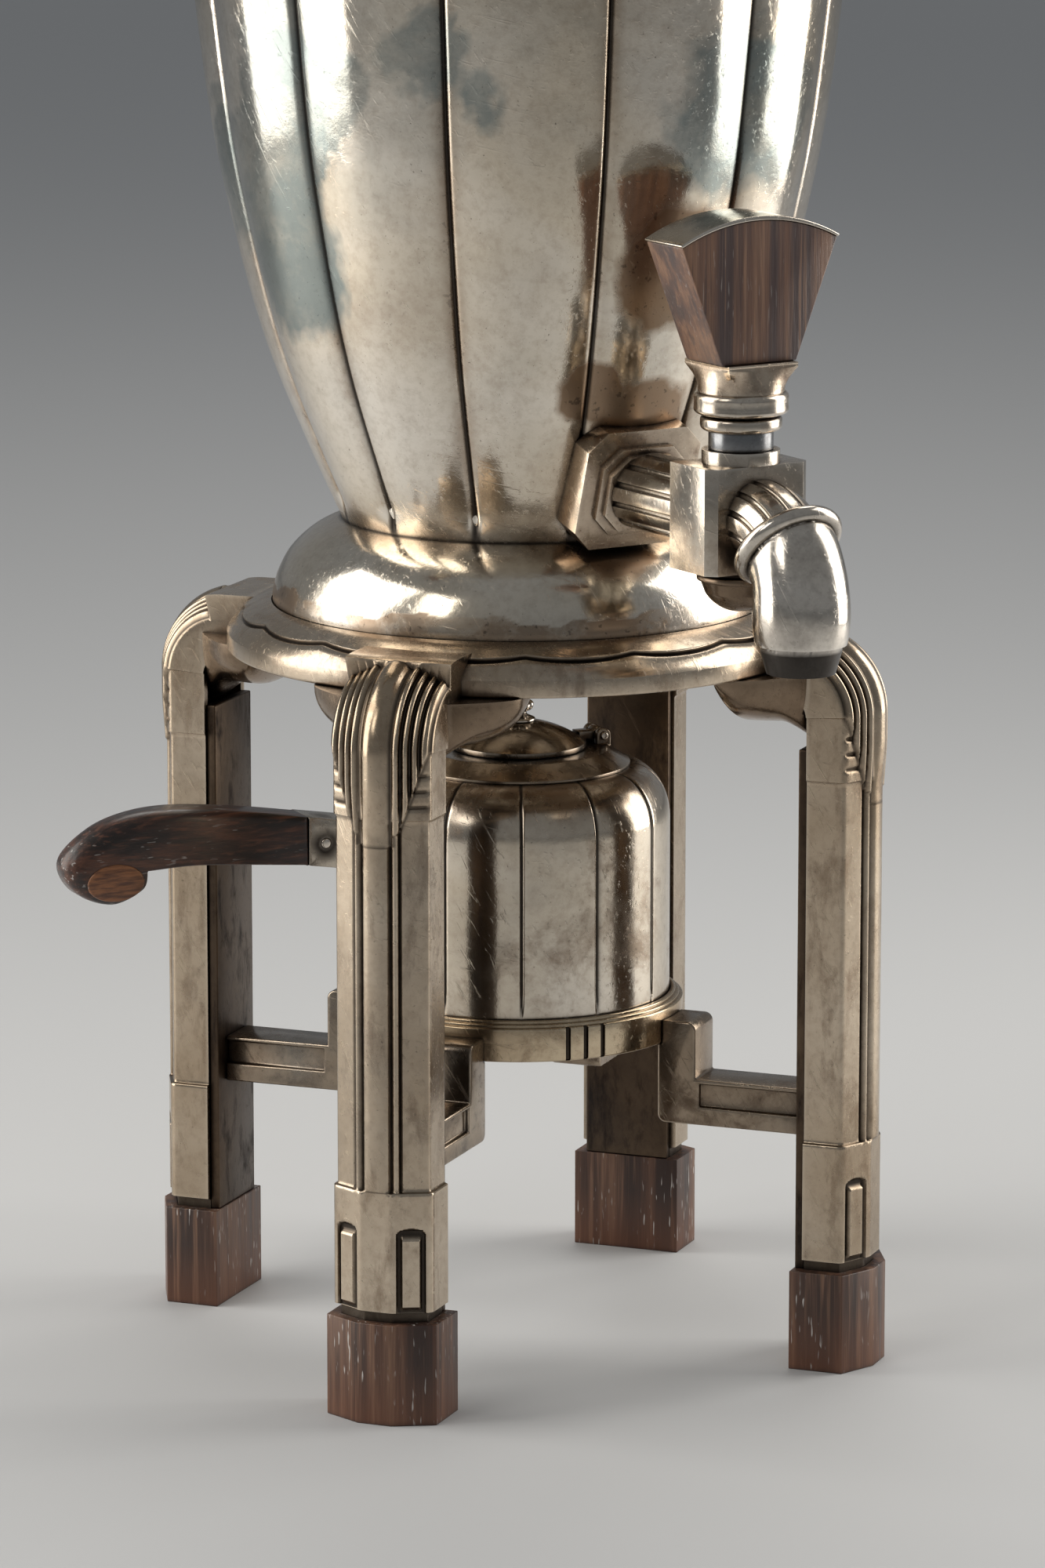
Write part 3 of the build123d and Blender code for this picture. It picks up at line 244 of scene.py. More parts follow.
def wood(name, dark, middle, light, flecks, turn=(0, 0, 0), stripe=150, rough=(0.3, 0.5), coat=0.0,
         lower_tone=None):
    """Striped exotic wood whose grain runs along Z before the turn, with pale wax in some pores. A lighter,
    warmer colour shows near the table."""
    skin = Skin(name)
    vector = skin.coordinates((1, 1, GRAIN_STRETCH / stripe), turn)
    bands = skin.noise(vector, stripe, 2, 0.5, 0.15)
    thin = skin.noise(vector, stripe * 3.6, 3, 0.6, 0.1)
    fibre = skin.noise(skin.coordinates((1, 1, 0.05), turn), 2600, 2, 0.6)
    colour = skin.mix(skin.spread(bands, 0.40, 0.54), dark, middle)
    for source, low, high, share, tone in ((bands, 0.55, 0.64, 0.55, light), (thin, 0.52, 0.66, 0.75, light),
                                           (thin, 0.47, 0.34, 0.8, dark), (fibre, 0.35, 0.7, 0.35, dark)):
        colour = skin.mix(skin.spread(source, low, high, 0.0, share), colour, tone)
    if lower_tone:
        height = skin.node("ShaderNodeSeparateXYZ", {0: skin.coordinates()}).outputs["Z"]
        colour = skin.mix(skin.spread(height, 0.015, 0.0, 0.0, 0.45), colour, lower_tone)
    streaked = skin.mix(skin.spread(thin, 0.38, 0.60), (0.10, 0.036, 0.016), (0.30, 0.120, 0.046))
    colour = skin.mix(skin.painted("scroll"), colour, streaked)
    pores = skin.noise(skin.coordinates((1, 1, 0.13), turn, 5.0), 1500, 1, 0.5)
    patches = skin.noise(skin.coordinates(shift=2.0), 60, 3, 0.6)
    waxed = skin.times(skin.spread(pores, 0.66, 0.71), skin.spread(patches, 0.46, 0.60))
    colour = skin.mix(skin.times(waxed, flecks), colour, WAX)
    # Painted shade: darker where something lies within 1.5 mm
    colour = skin.mix(skin.times(skin.occluded(0.0015, 0.82, 0.35), 0.8), colour, WOOD_SHADE_BLACK)
    normal = skin.bump(fibre, 0.25, 0.0002, skin.bump(thin, 0.22, 0.0003))
    skin.fill(skin.shader, {"Base Color": colour, "Roughness": skin.spread(thin, 0.3, 0.7, *rough),
                            "Coat Weight": coat, "Coat Roughness": 0.14, "Normal": normal})
    return skin.material


def plain(name, colour, rough, metallic, scale=300):
    """A simple finish with a little unevenness."""
    skin = Skin(name)
    mottle = skin.noise(skin.coordinates(), scale, 4, 0.6)
    dark = tuple(c * 0.6 for c in colour)
    mottled = skin.mix(skin.spread(mottle, 0.3, 0.7), dark, colour)
    skin.fill(skin.shader, {"Base Color": mottled, "Metallic": metallic, "Roughness": rough,
                            "Normal": skin.bump(mottle, 0.3, 0.0004)})
    return skin.material


# Stains by the tap as (x, y, z, radius), blue-grey patches as (radius, azimuth, z, size)
TAP_STAINS = ((0, -58, 224, 17), (13, -55, 208, 13), (-14, -57, 232, 10), (2, -68, 258, 16),
              (-3, -52, 199, 15))
COOL_PATCHES = [(*polar(radius, azimuth, z), size) for radius, azimuth, z, size in (
    (70, -96, 282, 30), (68, -88, 262, 22), (73, -70, 305, 24), (74, -48, 312, 20), (72, 18, 300, 18),
    (77, 110, 330, 34), (76, 190, 300, 30), (78, 240, 350, 36), (77, 40, 362, 26))]
PIN_PLACE = [(low + high) / 2 for low, high in zip(*box_of("handle_pin"))]

# Each silver has its bright, warm, brown and blue-grey colours, how much brown film and blue patina lie on
# it, how dark the dirt and painted shade in its crevices are, its roughness when clean and when dull, and its
# dents
SILVER = silver("silver", (0.86, 0.80, 0.71), (0.74, 0.65, 0.52), (0.30, 0.21, 0.14), (0.22, 0.27, 0.27),
                0.26, 0.3, places=TAP_STAINS, cool_places=COOL_PATCHES, cloud=32)
TAP_SILVER = silver("tap_silver", (0.74, 0.68, 0.60), (0.58, 0.51, 0.42), (0.23, 0.165, 0.12),
                    (0.26, 0.29, 0.27), 0.6, 0.4, 0.95, (0.16, 0.34), 0.12)
STAND_SILVER = silver("stand_silver", (0.62, 0.52, 0.405), (0.44, 0.345, 0.245), (0.19, 0.125, 0.08),
                      (0.17, 0.19, 0.20), 0.55, 0.3, 0.97, (0.20, 0.40), 0.15, cloud=150, tall=0.4)
DUSKY_SILVER = silver("dusky_silver", (0.44, 0.36, 0.275), (0.28, 0.215, 0.155), (0.10, 0.066, 0.045),
                      (0.14, 0.17, 0.18), 0.75, 0.5, 0.97, (0.18, 0.38), 0.15, cloud=90)
PLUG_SILVER = silver("plug_silver", (0.38, 0.39, 0.40), (0.27, 0.28, 0.29), (0.10, 0.09, 0.09),
                     (0.14, 0.18, 0.21), 0.6, 0.8, 0.97, (0.2, 0.4), 0.12, cloud=120)
DARK_SILVER = silver("dark_silver", (0.15, 0.105, 0.07), (0.075, 0.052, 0.036), (0.022, 0.015, 0.012),
                     (0.020, 0.024, 0.030), 0.95, 0.7, 0.95, (0.32, 0.55), 0.25, cloud=150, tall=0.35)
BURNER_SILVER = silver("burner_silver", (0.80, 0.73, 0.63), (0.64, 0.55, 0.43), (0.27, 0.19, 0.13),
                       (0.22, 0.26, 0.28), 0.7, 0.4, 0.97, (0.14, 0.32), 0.3)
CAP_SILVER = silver("cap_silver", (0.44, 0.37, 0.29), (0.22, 0.17, 0.125), (0.085, 0.058, 0.042),
                    (0.12, 0.15, 0.15), 0.8, 0.4, 0.97, (0.15, 0.3), 0.2)
TRAY_SILVER = silver("tray_silver", (0.66, 0.54, 0.38), (0.50, 0.37, 0.23), (0.20, 0.12, 0.065),
                     (0.20, 0.22, 0.23), 0.8, 0.3, 0.97, (0.18, 0.38), 0.12)
ESCUTCHEON_SILVER = silver("escutcheon_silver", (0.72, 0.62, 0.50), (0.50, 0.40, 0.30), (0.19, 0.125, 0.088),
                           (0.28, 0.30, 0.28), 0.8, 0.35, 0.97, (0.18, 0.36), 0.12)
NOZZLE_SILVER = silver("nozzle_silver", (0.80, 0.75, 0.68), (0.66, 0.59, 0.50), (0.060, 0.043, 0.036),
                       (0.26, 0.28, 0.27), 0.3, 0.4, 0.95, (0.14, 0.36), 0.12)
# A darker silver whose darkness is painted shade on the gussets under the ring; the plug nut uses it too
SHADED_BROWN_SILVER = silver("shaded_brown_silver", (0.30, 0.225, 0.16), (0.19, 0.135, 0.09), (0.085, 0.055, 0.038),
                       (0.12, 0.13, 0.12), 0.8, 0.3, 0.97, (0.2, 0.4), 0.15)
SOCKET_SILVER = silver("socket_silver", (0.64, 0.57, 0.48), (0.50, 0.43, 0.34), (0.050, 0.040, 0.034),
                       (0.20, 0.22, 0.22), 0.35, 0.4, 0.97, (0.2, 0.42), 0.12, places=((*PIN_PLACE, 6.6),),
                       loose=0.25)
FOOT_WOOD = wood("foot_wood", (0.038, 0.020, 0.015), (0.105, 0.050, 0.031), (0.23, 0.125, 0.076), flecks=0.9,
                 lower_tone=(0.20, 0.075, 0.035))
KEY_WOOD = wood("key_wood", (0.088, 0.060, 0.056), (0.185, 0.100, 0.068), (0.31, 0.175, 0.108), flecks=0.25,
                stripe=190, rough=(0.28, 0.42))
GRIP_WOOD = wood("grip_wood", (0.012, 0.006, 0.004), (0.045, 0.017, 0.010), (0.14, 0.052, 0.026), flecks=0.6,
                 turn=(0, 90, 0), stripe=260, rough=(0.3, 0.45), coat=0.3)
WICK = plain("wick_cotton", (0.62, 0.56, 0.46), 0.9, 0.0, 900)
BRASS = plain("brass", (0.62, 0.44, 0.20), 0.35, 1.0)


# Meshes

def add(name, rows, body, material, replaces, sharp=38, closed=False, around=True, faces=(), **masks):
    """Makes a piece from rows of millimetre points, with the masks painted on them. It joins the last row to
    the first if closed is set, and the ends of each row if around is. Faces come on top of the rows' own."""
    mesh = bpy.data.meshes.new(name)
    mesh.from_pydata([point(*v) for row in rows for v in row], [], grid(rows, closed, around) + list(faces))
    for mask, values in masks.items():
        mesh.attributes.new(mask, "FLOAT", "POINT").data.foreach_set("value", values)
    smooth(mesh, sharp)
    place(name, mesh, body, material, replaces)


def smooth(mesh, sharp):
    """Welds doubled points, turns all faces outwards and shades smoothly up to an angle."""
    shape = bmesh.new()
    shape.from_mesh(mesh)
    bmesh.ops.remove_doubles(shape, verts=shape.verts, dist=1e-6)
    bmesh.ops.dissolve_degenerate(shape, edges=shape.edges, dist=1e-7)
    bmesh.ops.recalc_face_normals(shape, faces=shape.faces)
    shape.to_mesh(mesh)
    shape.free()
    mesh.shade_smooth()
    mesh.set_sharp_from_angle(angle=math.radians(sharp))


def place(name, mesh, body, material, replaces):
    """Puts a piece into the scene on its body, in its material's slot."""
    piece = bpy.data.objects.new(name, mesh)
    bpy.context.scene.collection.objects.link(piece)
    mesh.materials.clear()
    mesh.materials.append(material)
    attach(piece, body)
    if replaces:
        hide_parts(replaces)


def grid(rows, closed, around):
    """Faces over rows of points."""
    height, width = len(rows), len(rows[0])
    faces = []
    for i in range(height if closed else height - 1):
        here, above = i * width, (i + 1) % height * width
        for j in range(width if around else width - 1):
            k = (j + 1) % width
            faces.append((here + j, here + k, above + k, above + j))
    return faces


def soften(points, radius, closed=True, steps=3):
    """Rounds the corners of an outline of 2-D points. A corner with a third value has its own radius."""
    result = []
    count = len(points)
    for i, (x, y, *own) in enumerate(points):
        here = Vector((x, y))
        back = Vector(points[i - 1][:2]) - here
        ahead = Vector(points[(i + 1) % count][:2]) - here
        r = own[0] if own else radius
        end = not closed and i in (0, count - 1)
        if end or r <= 0 or min(back.length, ahead.length) < 1e-6 or back.angle(ahead) > math.radians(172):
            result.append((x, y))
            continue
        cut = min(r, back.length * 0.48, ahead.length * 0.48)
        start, finish = here + back.normalized() * cut, here + ahead.normalized() * cut
        for k in range(steps + 1):
            t = k / steps
            result.append(tuple(start * (1 - t) ** 2 + here * 2 * t * (1 - t) + finish * t ** 2))
    return result


LINES = 12
LINE_HALF = 180.0 / LINES


def from_line(azimuth, first):
    """Degrees to the nearest of the evenly spaced lines round the axis, the first one at an azimuth."""
    return LINE_HALF - abs((azimuth - first) % (2 * LINE_HALF) - LINE_HALF)


def beside_line(r, azimuth, first):
    """Millimetres to the nearest of those lines."""
    return math.radians(from_line(azimuth, first)) * r


def crowded(first, near, spacing):
    """Azimuths round the axis that crowd beside those lines, first as given and then evenly spaced."""
    offsets = list(near)
    while offsets[-1] + spacing < LINE_HALF:
        offsets.append(offsets[-1] + spacing)
    result = set()
    for number in range(LINES):
        middle = first + 2 * LINE_HALF * number
        for off in offsets + [LINE_HALF]:
            result.update(((middle + off) % 360, (middle - off) % 360))
    return sorted({round(azimuth, 5) for azimuth in result})


def hoop(azimuths, r, z, radius=None):
    """A row of points round the axis. radius(r, z, azimuth) may reshape it."""
    return [polar(radius(r, z, azimuth) if radius else r, azimuth, z) for azimuth in azimuths]


def painting(mask, profile, azimuths):
    """A mask's values on the rows of an outline of (radius, height)."""
    return [mask(r, z, azimuth) for r, z in profile for azimuth in azimuths]


def lathe(name, profile, body, material, replaces, azimuths=144, centre=(0, 0), closed=True, sharp=38,
          radius=None, **masks):
    """Turns an outline of (radius, height) round an upright axis. radius(r, z, azimuth) may reshape it, and
    masks of the same values are painted on it."""
    if isinstance(azimuths, int):
        azimuths = [360.0 * k / azimuths for k in range(azimuths)]
    rows = [hoop(azimuths, r, z, radius) for r, z in profile]
    rows = [[(x + centre[0], y + centre[1], z) for x, y, z in row] for row in rows]
    paint = {name: painting(mask, profile, azimuths) for name, mask in masks.items()}
    add(name, rows, body, material, replaces, sharp, closed, **paint)


def welded(node):
    """A CAD node's mesh, with its doubled points welded."""
    shape = bmesh.new()
    shape.from_mesh(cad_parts[node].data)
    bmesh.ops.remove_doubles(shape, verts=shape.verts, dist=1e-6)
    return shape


def section_of(node, centre):
    """The outline of a turned CAD node to the right of its axis, as (radius, height) in millimetres, and
    whether it is an open line."""
    shape = welded(node)
    axis = point(*centre, 0)
    cut = bmesh.ops.bisect_plane(shape, geom=shape.verts[:] + shape.edges[:] + shape.faces[:], dist=1e-7,
                                 plane_co=axis, plane_no=(0, 1, 0))["geom_cut"]
    beside = {}
    for edge in cut:
        if isinstance(edge, bmesh.types.BMEdge) and sum(v.co.x - axis.x for v in edge.verts) > 1e-5:
            for here, there in (edge.verts, reversed(edge.verts)):
                beside.setdefault(here, []).append(there)
    ends = [v for v, near in beside.items() if len(near) == 1]
    chain = [ends[0] if ends else next(iter(beside))]
    while ahead := [v for v in beside[chain[-1]] if v not in chain]:
        chain.append(ahead[0])
    points = [((v.co.x - axis.x) * 1000, v.co.z * 1000) for v in chain]
    shape.free()
    kept = []
    for i, p in enumerate(points):
        back = Vector(p) - Vector(points[i - 1])
        ahead = Vector(points[(i + 1) % len(points)]) - Vector(p)
        end = ends and i in (0, len(points) - 1)
        if end or min(back.length, ahead.length) > 1e-4 and back.angle(ahead) > math.radians(0.5):
            kept.append(p)
    return kept, bool(ends)


def turned(node, body, material, soft=0.5, centre=(0, 0), turns=128, **changes):
    """A finer copy of a turned CAD node, with rounded corners, which stands for the node."""
    outline, through = section_of(node, centre)
    profile = soften(outline, soft, closed=not through)
    if through:
        profile = [(max(r, 0.01), z) for r, z in profile]
    lathe(node + "_look", profile, body, material, node, turns, centre, not through, 40, **changes)


def refined(node, body, material, width=0.4, dirt=None):
    """A copy of a CAD node with softened edges, which stands for the node."""
    mesh = bpy.data.meshes.new(node + "_look")
    shape = welded(node)
    bmesh.ops.dissolve_limit(shape, angle_limit=math.radians(0.6), verts=shape.verts, edges=shape.edges)
    edges = [edge for edge in shape.edges
             if len(edge.link_faces) == 2 and edge.calc_face_angle(0) > math.radians(28)]
    bmesh.ops.bevel(shape, geom=edges, offset=width / 1000, segments=3, profile=0.5, affect="EDGES",
                    clamp_overlap=True, harden_normals=False)
    shape.to_mesh(mesh)
    shape.free()
    smooth(mesh, 30)
    if dirt:
        values = [dirt(v.co.z * 1000) for v in mesh.vertices]
        mesh.attributes.new("dirt", "FLOAT", "POINT").data.foreach_set("value", values)
    place(node + "_look", mesh, body, material, node)


def smooth_curve(points, steps):
    """Points on a smooth curve through the given points (Catmull-Rom)."""
    padded = [points[0]] + list(points) + [points[-1]]
    result = []
    for i in range(1, len(padded) - 2):
        p0, p1, p2, p3 = (Vector(padded[i + k]) for k in (-1, 0, 1, 2))
        for k in range(steps):
            t = k / steps
            result.append(0.5 * (2 * p1 + (p2 - p0) * t + (2 * p0 - 5 * p1 + 4 * p2 - p3) * t * t
                                 + (3 * p1 - p0 - 3 * p2 + p3) * t ** 3))
    result.append(Vector(points[-1]))
    return result


# Vessel

SEAT_Z = 176.5
VESSEL_Z = 196.9
MOUTH_Z = 398.9
VESSEL_CURVE = ((41.5, 0.0), (49.4, 17.5), (58.8, 41.0), (66.0, 67.0), (72.6, 101.5), (77.8, 157.0),
                (72.5, 184.0), (54.0, 202.0))
WALL = 1.5
FIRST_VALLEY = 15.0
LOBE_RISE = 2.4 / 77.8
VALLEY_NEAR = (0.0, 0.12, 0.26, 0.42, 0.62, 0.9, 1.3, 1.9, 2.8)
FOOT_R = 58.0
FOOT_CURVE = ((FOOT_R, 179.2), (56.7, 183.8), (53.8, 189.0), (48.8, 193.6), (42.6, 196.7))
FOOT_TOP = [(41.6, 197.2), (38.8, 196.9), (38.8, 195.3)]
FOOT_INSIDE = [(40.4, 195.3), (46.0, 192.6), (50.6, 189.0), (54.2, 184.3), (56.2, 179.0)]


def lobe(r, z, azimuth):
    """Radius of the lobed vessel: twelve bulging panels with a pressed line between."""
    if z > MOUTH_Z - 1.0 or z < VESSEL_Z + 0.5:
        return r
    ends = max(min(1.0, (MOUTH_Z - 1.0 - z) / 14) * min(1.0, (z - VESSEL_Z - 0.5) / 5), 0.0)
    bulge = LOBE_RISE * r * (1 - from_line(azimuth, FIRST_VALLEY) / LINE_HALF) ** 2
    valley = 0.75 * bell(beside_line(r, azimuth, FIRST_VALLEY), 0.75)
    return r - (bulge + valley) * ends


def lobe_dirt(r, z, azimuth):
    """Dirt and painted shade in the valleys, wider just above the foot."""
    return 0.97 * bell(beside_line(r, azimuth, FIRST_VALLEY), 0.62 + 0.9 * bell(z - VESSEL_Z, 4.0), 4)


def lobe_stain(r, z, azimuth):
    """Brown film beside the valleys and where the vessel meets its foot."""
    return max(0.75 * bell(beside_line(r, azimuth, FIRST_VALLEY), 2.6), 0.9 * bell(z - VESSEL_Z, 7.0))


def foot_stain(r, z, azimuth):
    """A dark band with a wavy edge along the foot's rim."""
    turn = math.radians(azimuth)
    waves = 0.8 * math.sin(7 * turn + 1) + 0.6 * math.sin(17 * turn) + 0.35 * math.sin(41 * turn + 2)
    edge = SEAT_Z + 5.4 + waves
    return 1.15 if z < edge else max(0.0, 0.25 - 0.1 * (z - edge))


def foot_dirt(r, z, azimuth):
    """Dirt where the foot meets the vessel."""
    return 0.95 * bell(r - 41.8, 0.5) if z > 196 else 0.0


def make_vessel():
    """The lobed shell, from its foot up the outside and down the inside to a closed bottom."""
    side = [(p.x, VESSEL_Z + p.y) for p in smooth_curve(VESSEL_CURVE, 14)]
    inside = [(max(r - WALL, 1.0), max(z, VESSEL_Z + WALL)) for r, z in reversed(side[::2])]
    azimuths = crowded(FIRST_VALLEY, VALLEY_NEAR, 1.7)
    rows = [hoop(azimuths, r, z, lobe) for r, z in side]
    rows += [hoop(azimuths, r, z, lobe if z > VESSEL_Z + 8 else None) for r, z in inside]
    rows += [hoop(azimuths, r, VESSEL_Z + WALL) for r in (20.0, 0.01)]
    rows += [hoop(azimuths, r, VESSEL_Z) for r in (0.01, 20.0)]
    unpainted = len(azimuths) * (len(rows) - len(side))
    add("vessel_lobed", rows, "vessel", SILVER, "vessel_body", 50, closed=True,
        dirt=painting(lobe_dirt, side, azimuths) + [0.0] * unpainted,
        stain=painting(lobe_stain, side, azimuths) + [0.35] * unpainted)


def make_foot():
    """The vessel's convex foot."""
    rim = [(56.4, SEAT_Z, 0.2), (FOOT_R, SEAT_Z, 0.5), (FOOT_R, SEAT_Z + 2.4, 1.2)]
    dome = [(p.x, p.y) for p in smooth_curve(FOOT_CURVE, 10)[2:]]
    lathe("vessel_dome", soften(rim + dome + FOOT_TOP + FOOT_INSIDE, 0.3), "vessel", SILVER, "vessel_foot",
          azimuths=360, stain=foot_stain, dirt=foot_dirt)


# Ring. Its edge line is followed by its length from the ring's flat top outwards and down.
RING_TOP_Z = 177.3
RING_LOW_Z = 166.0
RING_TOP = [(58.3, RING_TOP_Z), (59.5, 177.1), (61.5, 176.5), (63.5, 175.7), (64.6, 175.1), (65.6, 174.3),
            (66.6, 173.2), (67.6, 172.0), (68.4, 171.0), (68.8, 170.2)]
RING_REST = [(68.8, 170.2, 0.1), (68.8, RING_LOW_Z, 0.7), (66.8, RING_LOW_Z, 0.3), (66.8, 169.6),
             (62.6, 173.0), (58.0, 174.5), (54.0, 174.5), (54.0, RING_LOW_Z), (52.0, RING_LOW_Z),
             (52.0, SEAT_Z), (58.3, SEAT_Z), (58.3, RING_TOP_Z, 0.1)]
RING_TURNS = 384
SCALLOP = 22.5
SCALLOP_MIDDLE = 6.6
SCALLOP_DIP = 1.5
# Across the scalloped line: distance from it, height over the ring, and dirt with painted shade in the groove
# below its step
SCALLOP_LINE = ((-1.3, 0.0, 0.0), (-0.8, 0.10, 0.0), (-0.5, 0.16, 0.0), (-0.3, 0.10, 0.4),
                (-0.12, -0.35, 0.97), (0.05, -0.75, 0.97), (0.3, -0.7, 0.9), (0.55, -0.45, 0.35),
                (0.8, -0.25, 0.1), (1.1, -0.1, 0.0))


def make_ring():
    """The stand's ring with its scalloped edge line."""
    line = smooth_curve(RING_TOP, 6)
    lengths = [0.0]
    for a, b in zip(line, line[1:]):
        lengths.append(lengths[-1] + (b - a).length)

    def along(s, out):
        """The point at a distance along the ring's outline and a height over it."""
        for a, b, la, lb in zip(line, line[1:], lengths, lengths[1:]):
            if s <= lb:
                way = (b - a).normalized()
                return a.lerp(b, (s - la) / (lb - la)) + Vector((-way.y, way.x)) * out
        return line[-1] + Vector((out, 0))

    def scallop(azimuth):
        """Distance of the scalloped line from the ring's flat top."""
        turn = ((azimuth - STAND_TURN + 45.0) % SCALLOP) / SCALLOP
        return SCALLOP_MIDDLE + SCALLOP_DIP * (1.0 - abs(2 * turn - 1) ** 2.2)

    azimuths = [360.0 * k / RING_TURNS for k in range(RING_TURNS)]
    starts = [scallop(azimuth) + SCALLOP_LINE[0][0] for azimuth in azimuths]
    ends = [scallop(azimuth) + SCALLOP_LINE[-1][0] for azimuth in azimuths]
    rows = [([start * share for start in starts], 0.0, 0.0) for share in (0.15, 0.4, 0.7)]
    rows += [([scallop(azimuth) + off for azimuth in azimuths], out, mark) for off, out, mark in SCALLOP_LINE]
    rows += [([mixed(end, lengths[-1], share) for end in ends], 0.0, 0.0) for share in (0.3, 0.6, 0.85, 1.0)]
    built, marks = [], []
    for distances, out, mark in rows:
        places = [along(s, out) for s in distances]
        built.append([polar(p.x, azimuth, p.y) for p, azimuth in zip(places, azimuths)])
        marks += [mark] * RING_TURNS
    for r, z in soften(RING_REST, 0.3)[1:]:
        built.append(hoop(azimuths, r, z))
        marks += [0.0] * RING_TURNS
    add("ring_scalloped", built, "stand", STAND_SILVER, "stand_ring", 42, closed=True, dirt=marks)


# Legs. A leg is a plan, drawn from the middle of its nose to its back edge, that runs up from the foot block
# and bends over into the ring. Relief stands on the plan by the distance across it and the path along it.
SHELL_BACK = 76.0
SIDE_FRONT = 85.1
NOSE = 89.0
HALF_WIDTH = 11.4
NOSE_HALF = 3.6
SHELL_WALL = 1.5
SLEEVE_LOW, SLEEVE_HIGH = 26.4, 54.4
SLOT_MIDDLE = 8.0
SLOT_HIGH = 45.8
BAR_LOW, BAR_HIGH = 27.3, 43.6
SHOULDER_LOW = 134.5
SHIELD_LOW, SHIELD_STEP, SHIELD_HIGH = 135.2, 138.2, 157.5
RIB_FIRST = 4.75
RIB_PITCH = 2.15
PANEL_LOW = 140.8
TICKS = (144.0, 147.6, 151.2)
FLANGE_LOW = 156.6
KNEE_U = 71.0
KNEE_Z = 155.6
KNEE_ROLL = 19.5
KNEE_END = KNEE_Z + KNEE_ROLL * math.pi / 2
PLATE_LOW = 181.85
PLATE_HEIGHT = 1.9
PLATE_EDGE = 12.35
LEG_END = KNEE_END + 8.5


def rod(s, middle, half, height):
    """The section of a half-round rod along the leg."""
    t = (s - middle) / half
    return height * math.sqrt(max(1 - t * t, 0.0))


def half_section():
    """The leg's plan, as its length so far, its point and its outward normal."""
    corners = [(NOSE, 0.0), (NOSE, NOSE_HALF, 0.5), (SIDE_FRONT, HALF_WIDTH, 0.7), (SHELL_BACK, HALF_WIDTH)]
    outline = soften(corners, 0.5, closed=False, steps=4)
    dense = []
    for a, b in zip(outline, outline[1:]):
        count = max(1, int(math.dist(a, b) / 0.1))
        dense += [(mixed(a[0], b[0], k / count), mixed(a[1], b[1], k / count)) for k in range(count)]
    dense.append(outline[-1])
    table, run = [], 0.0
    for i, p in enumerate(dense):
        if i:
            run += math.dist(p, dense[i - 1])
        a, b = dense[max(i - 4, 0)], dense[min(i + 4, len(dense) - 1)]
        way = Vector((b[0] - a[0], b[1] - a[1])).normalized()
        table.append((run, p[0], p[1], way.y, -way.x))
    return table


SECTION = half_section()


def section_at(s):
    """Point and outward normal of the plan at a signed distance from the middle of the nose."""
    side = 1 if s >= 0 else -1
    s = min(abs(s), SECTION[-1][0])
    index = 0
    while index < len(SECTION) - 2 and SECTION[index + 1][0] < s:
        index += 1
    a, b = SECTION[index], SECTION[index + 1]
    u, v, nu, nv = (mixed(a[k], b[k], (s - a[0]) / (b[0] - a[0])) for k in (1, 2, 3, 4))
    if s < 1e-6:
        nu, nv = 1.0, 0.0
    return u, v * side, nu, nv * side


def sleeve_relief(across, path, height, dirt):
    """The sleeve over the shaft's foot, with an arched slot and a bar in it on each side. Dirt and painted
    shade darken the slot, the leg below the sleeve and the sleeve's top edge.
    """
    sleeve = step(path, SLEEVE_LOW - 0.4, SLEEVE_LOW) * (1 - step(path, SLEEVE_HIGH, SLEEVE_HIGH + 0.4))
    off = abs(across - SLOT_MIDDLE)
    arch = SLOT_HIGH - 1.2 * (off / 3.4) ** 4
    slot = (1 - step(off, 3.1, 3.5)) * (1 - step(path, arch, arch + 0.4))
    bar = step(path, BAR_LOW - 0.4, BAR_LOW) * (1 - step(path, BAR_HIGH, BAR_HIGH + 1))
    bar *= 1 - step(off, 2.05, 2.4)
    if path < SLEEVE_LOW:
        return 1.5 * sleeve - 0.7, 0.85 * (1 - sleeve)
    height = mixed(height, 0.85 - 0.85 * slot + bar * slot, sleeve)
    dirt = mixed(dirt, 0.97 * slot * (1 - bar), sleeve)
    if path > SLEEVE_HIGH:
        dirt = max(dirt, 0.6 * (1 - step(path, SLEEVE_HIGH, SLEEVE_HIGH + 0.6)))
    return height, dirt


def shield_edge(z):
    """How far the ribbed shield reaches from the middle at a height."""
    if z < SHIELD_LOW:
        return 0.0
    if z < SHIELD_STEP:
        return 3.9 + 1.6 * step(z, SHIELD_STEP - 0.8, SHIELD_STEP + 0.2)
    return 5.5 + (z - SHIELD_STEP) * (12.4 - 5.5) / (SHIELD_HIGH - SHIELD_STEP)


def rib_relief(across):
    """The shield's ribs: a broad one with four narrow ones beside it, with dirt and painted shade in the
    grooves beside them.
    """
    if across > PLATE_EDGE:
        return 0.6, 0.0
    height, dirt = rod(across, 0, 3.2, 2.3), bell(across - 3.6, 0.36, 4)
    for number in range(4):
        middle = RIB_FIRST + RIB_PITCH * number
        height = max(height, 0.15 + rod(across, middle, 0.84, 1.5))
        dirt = max(dirt, bell(across - middle - 1.08, 0.36, 4))
    return height, 0.95 * dirt


def top_plate(path):
    """1 where the leg's flat top plate is, 0 below it."""
    return step(path, PLATE_LOW - 0.3, PLATE_LOW + 0.3)


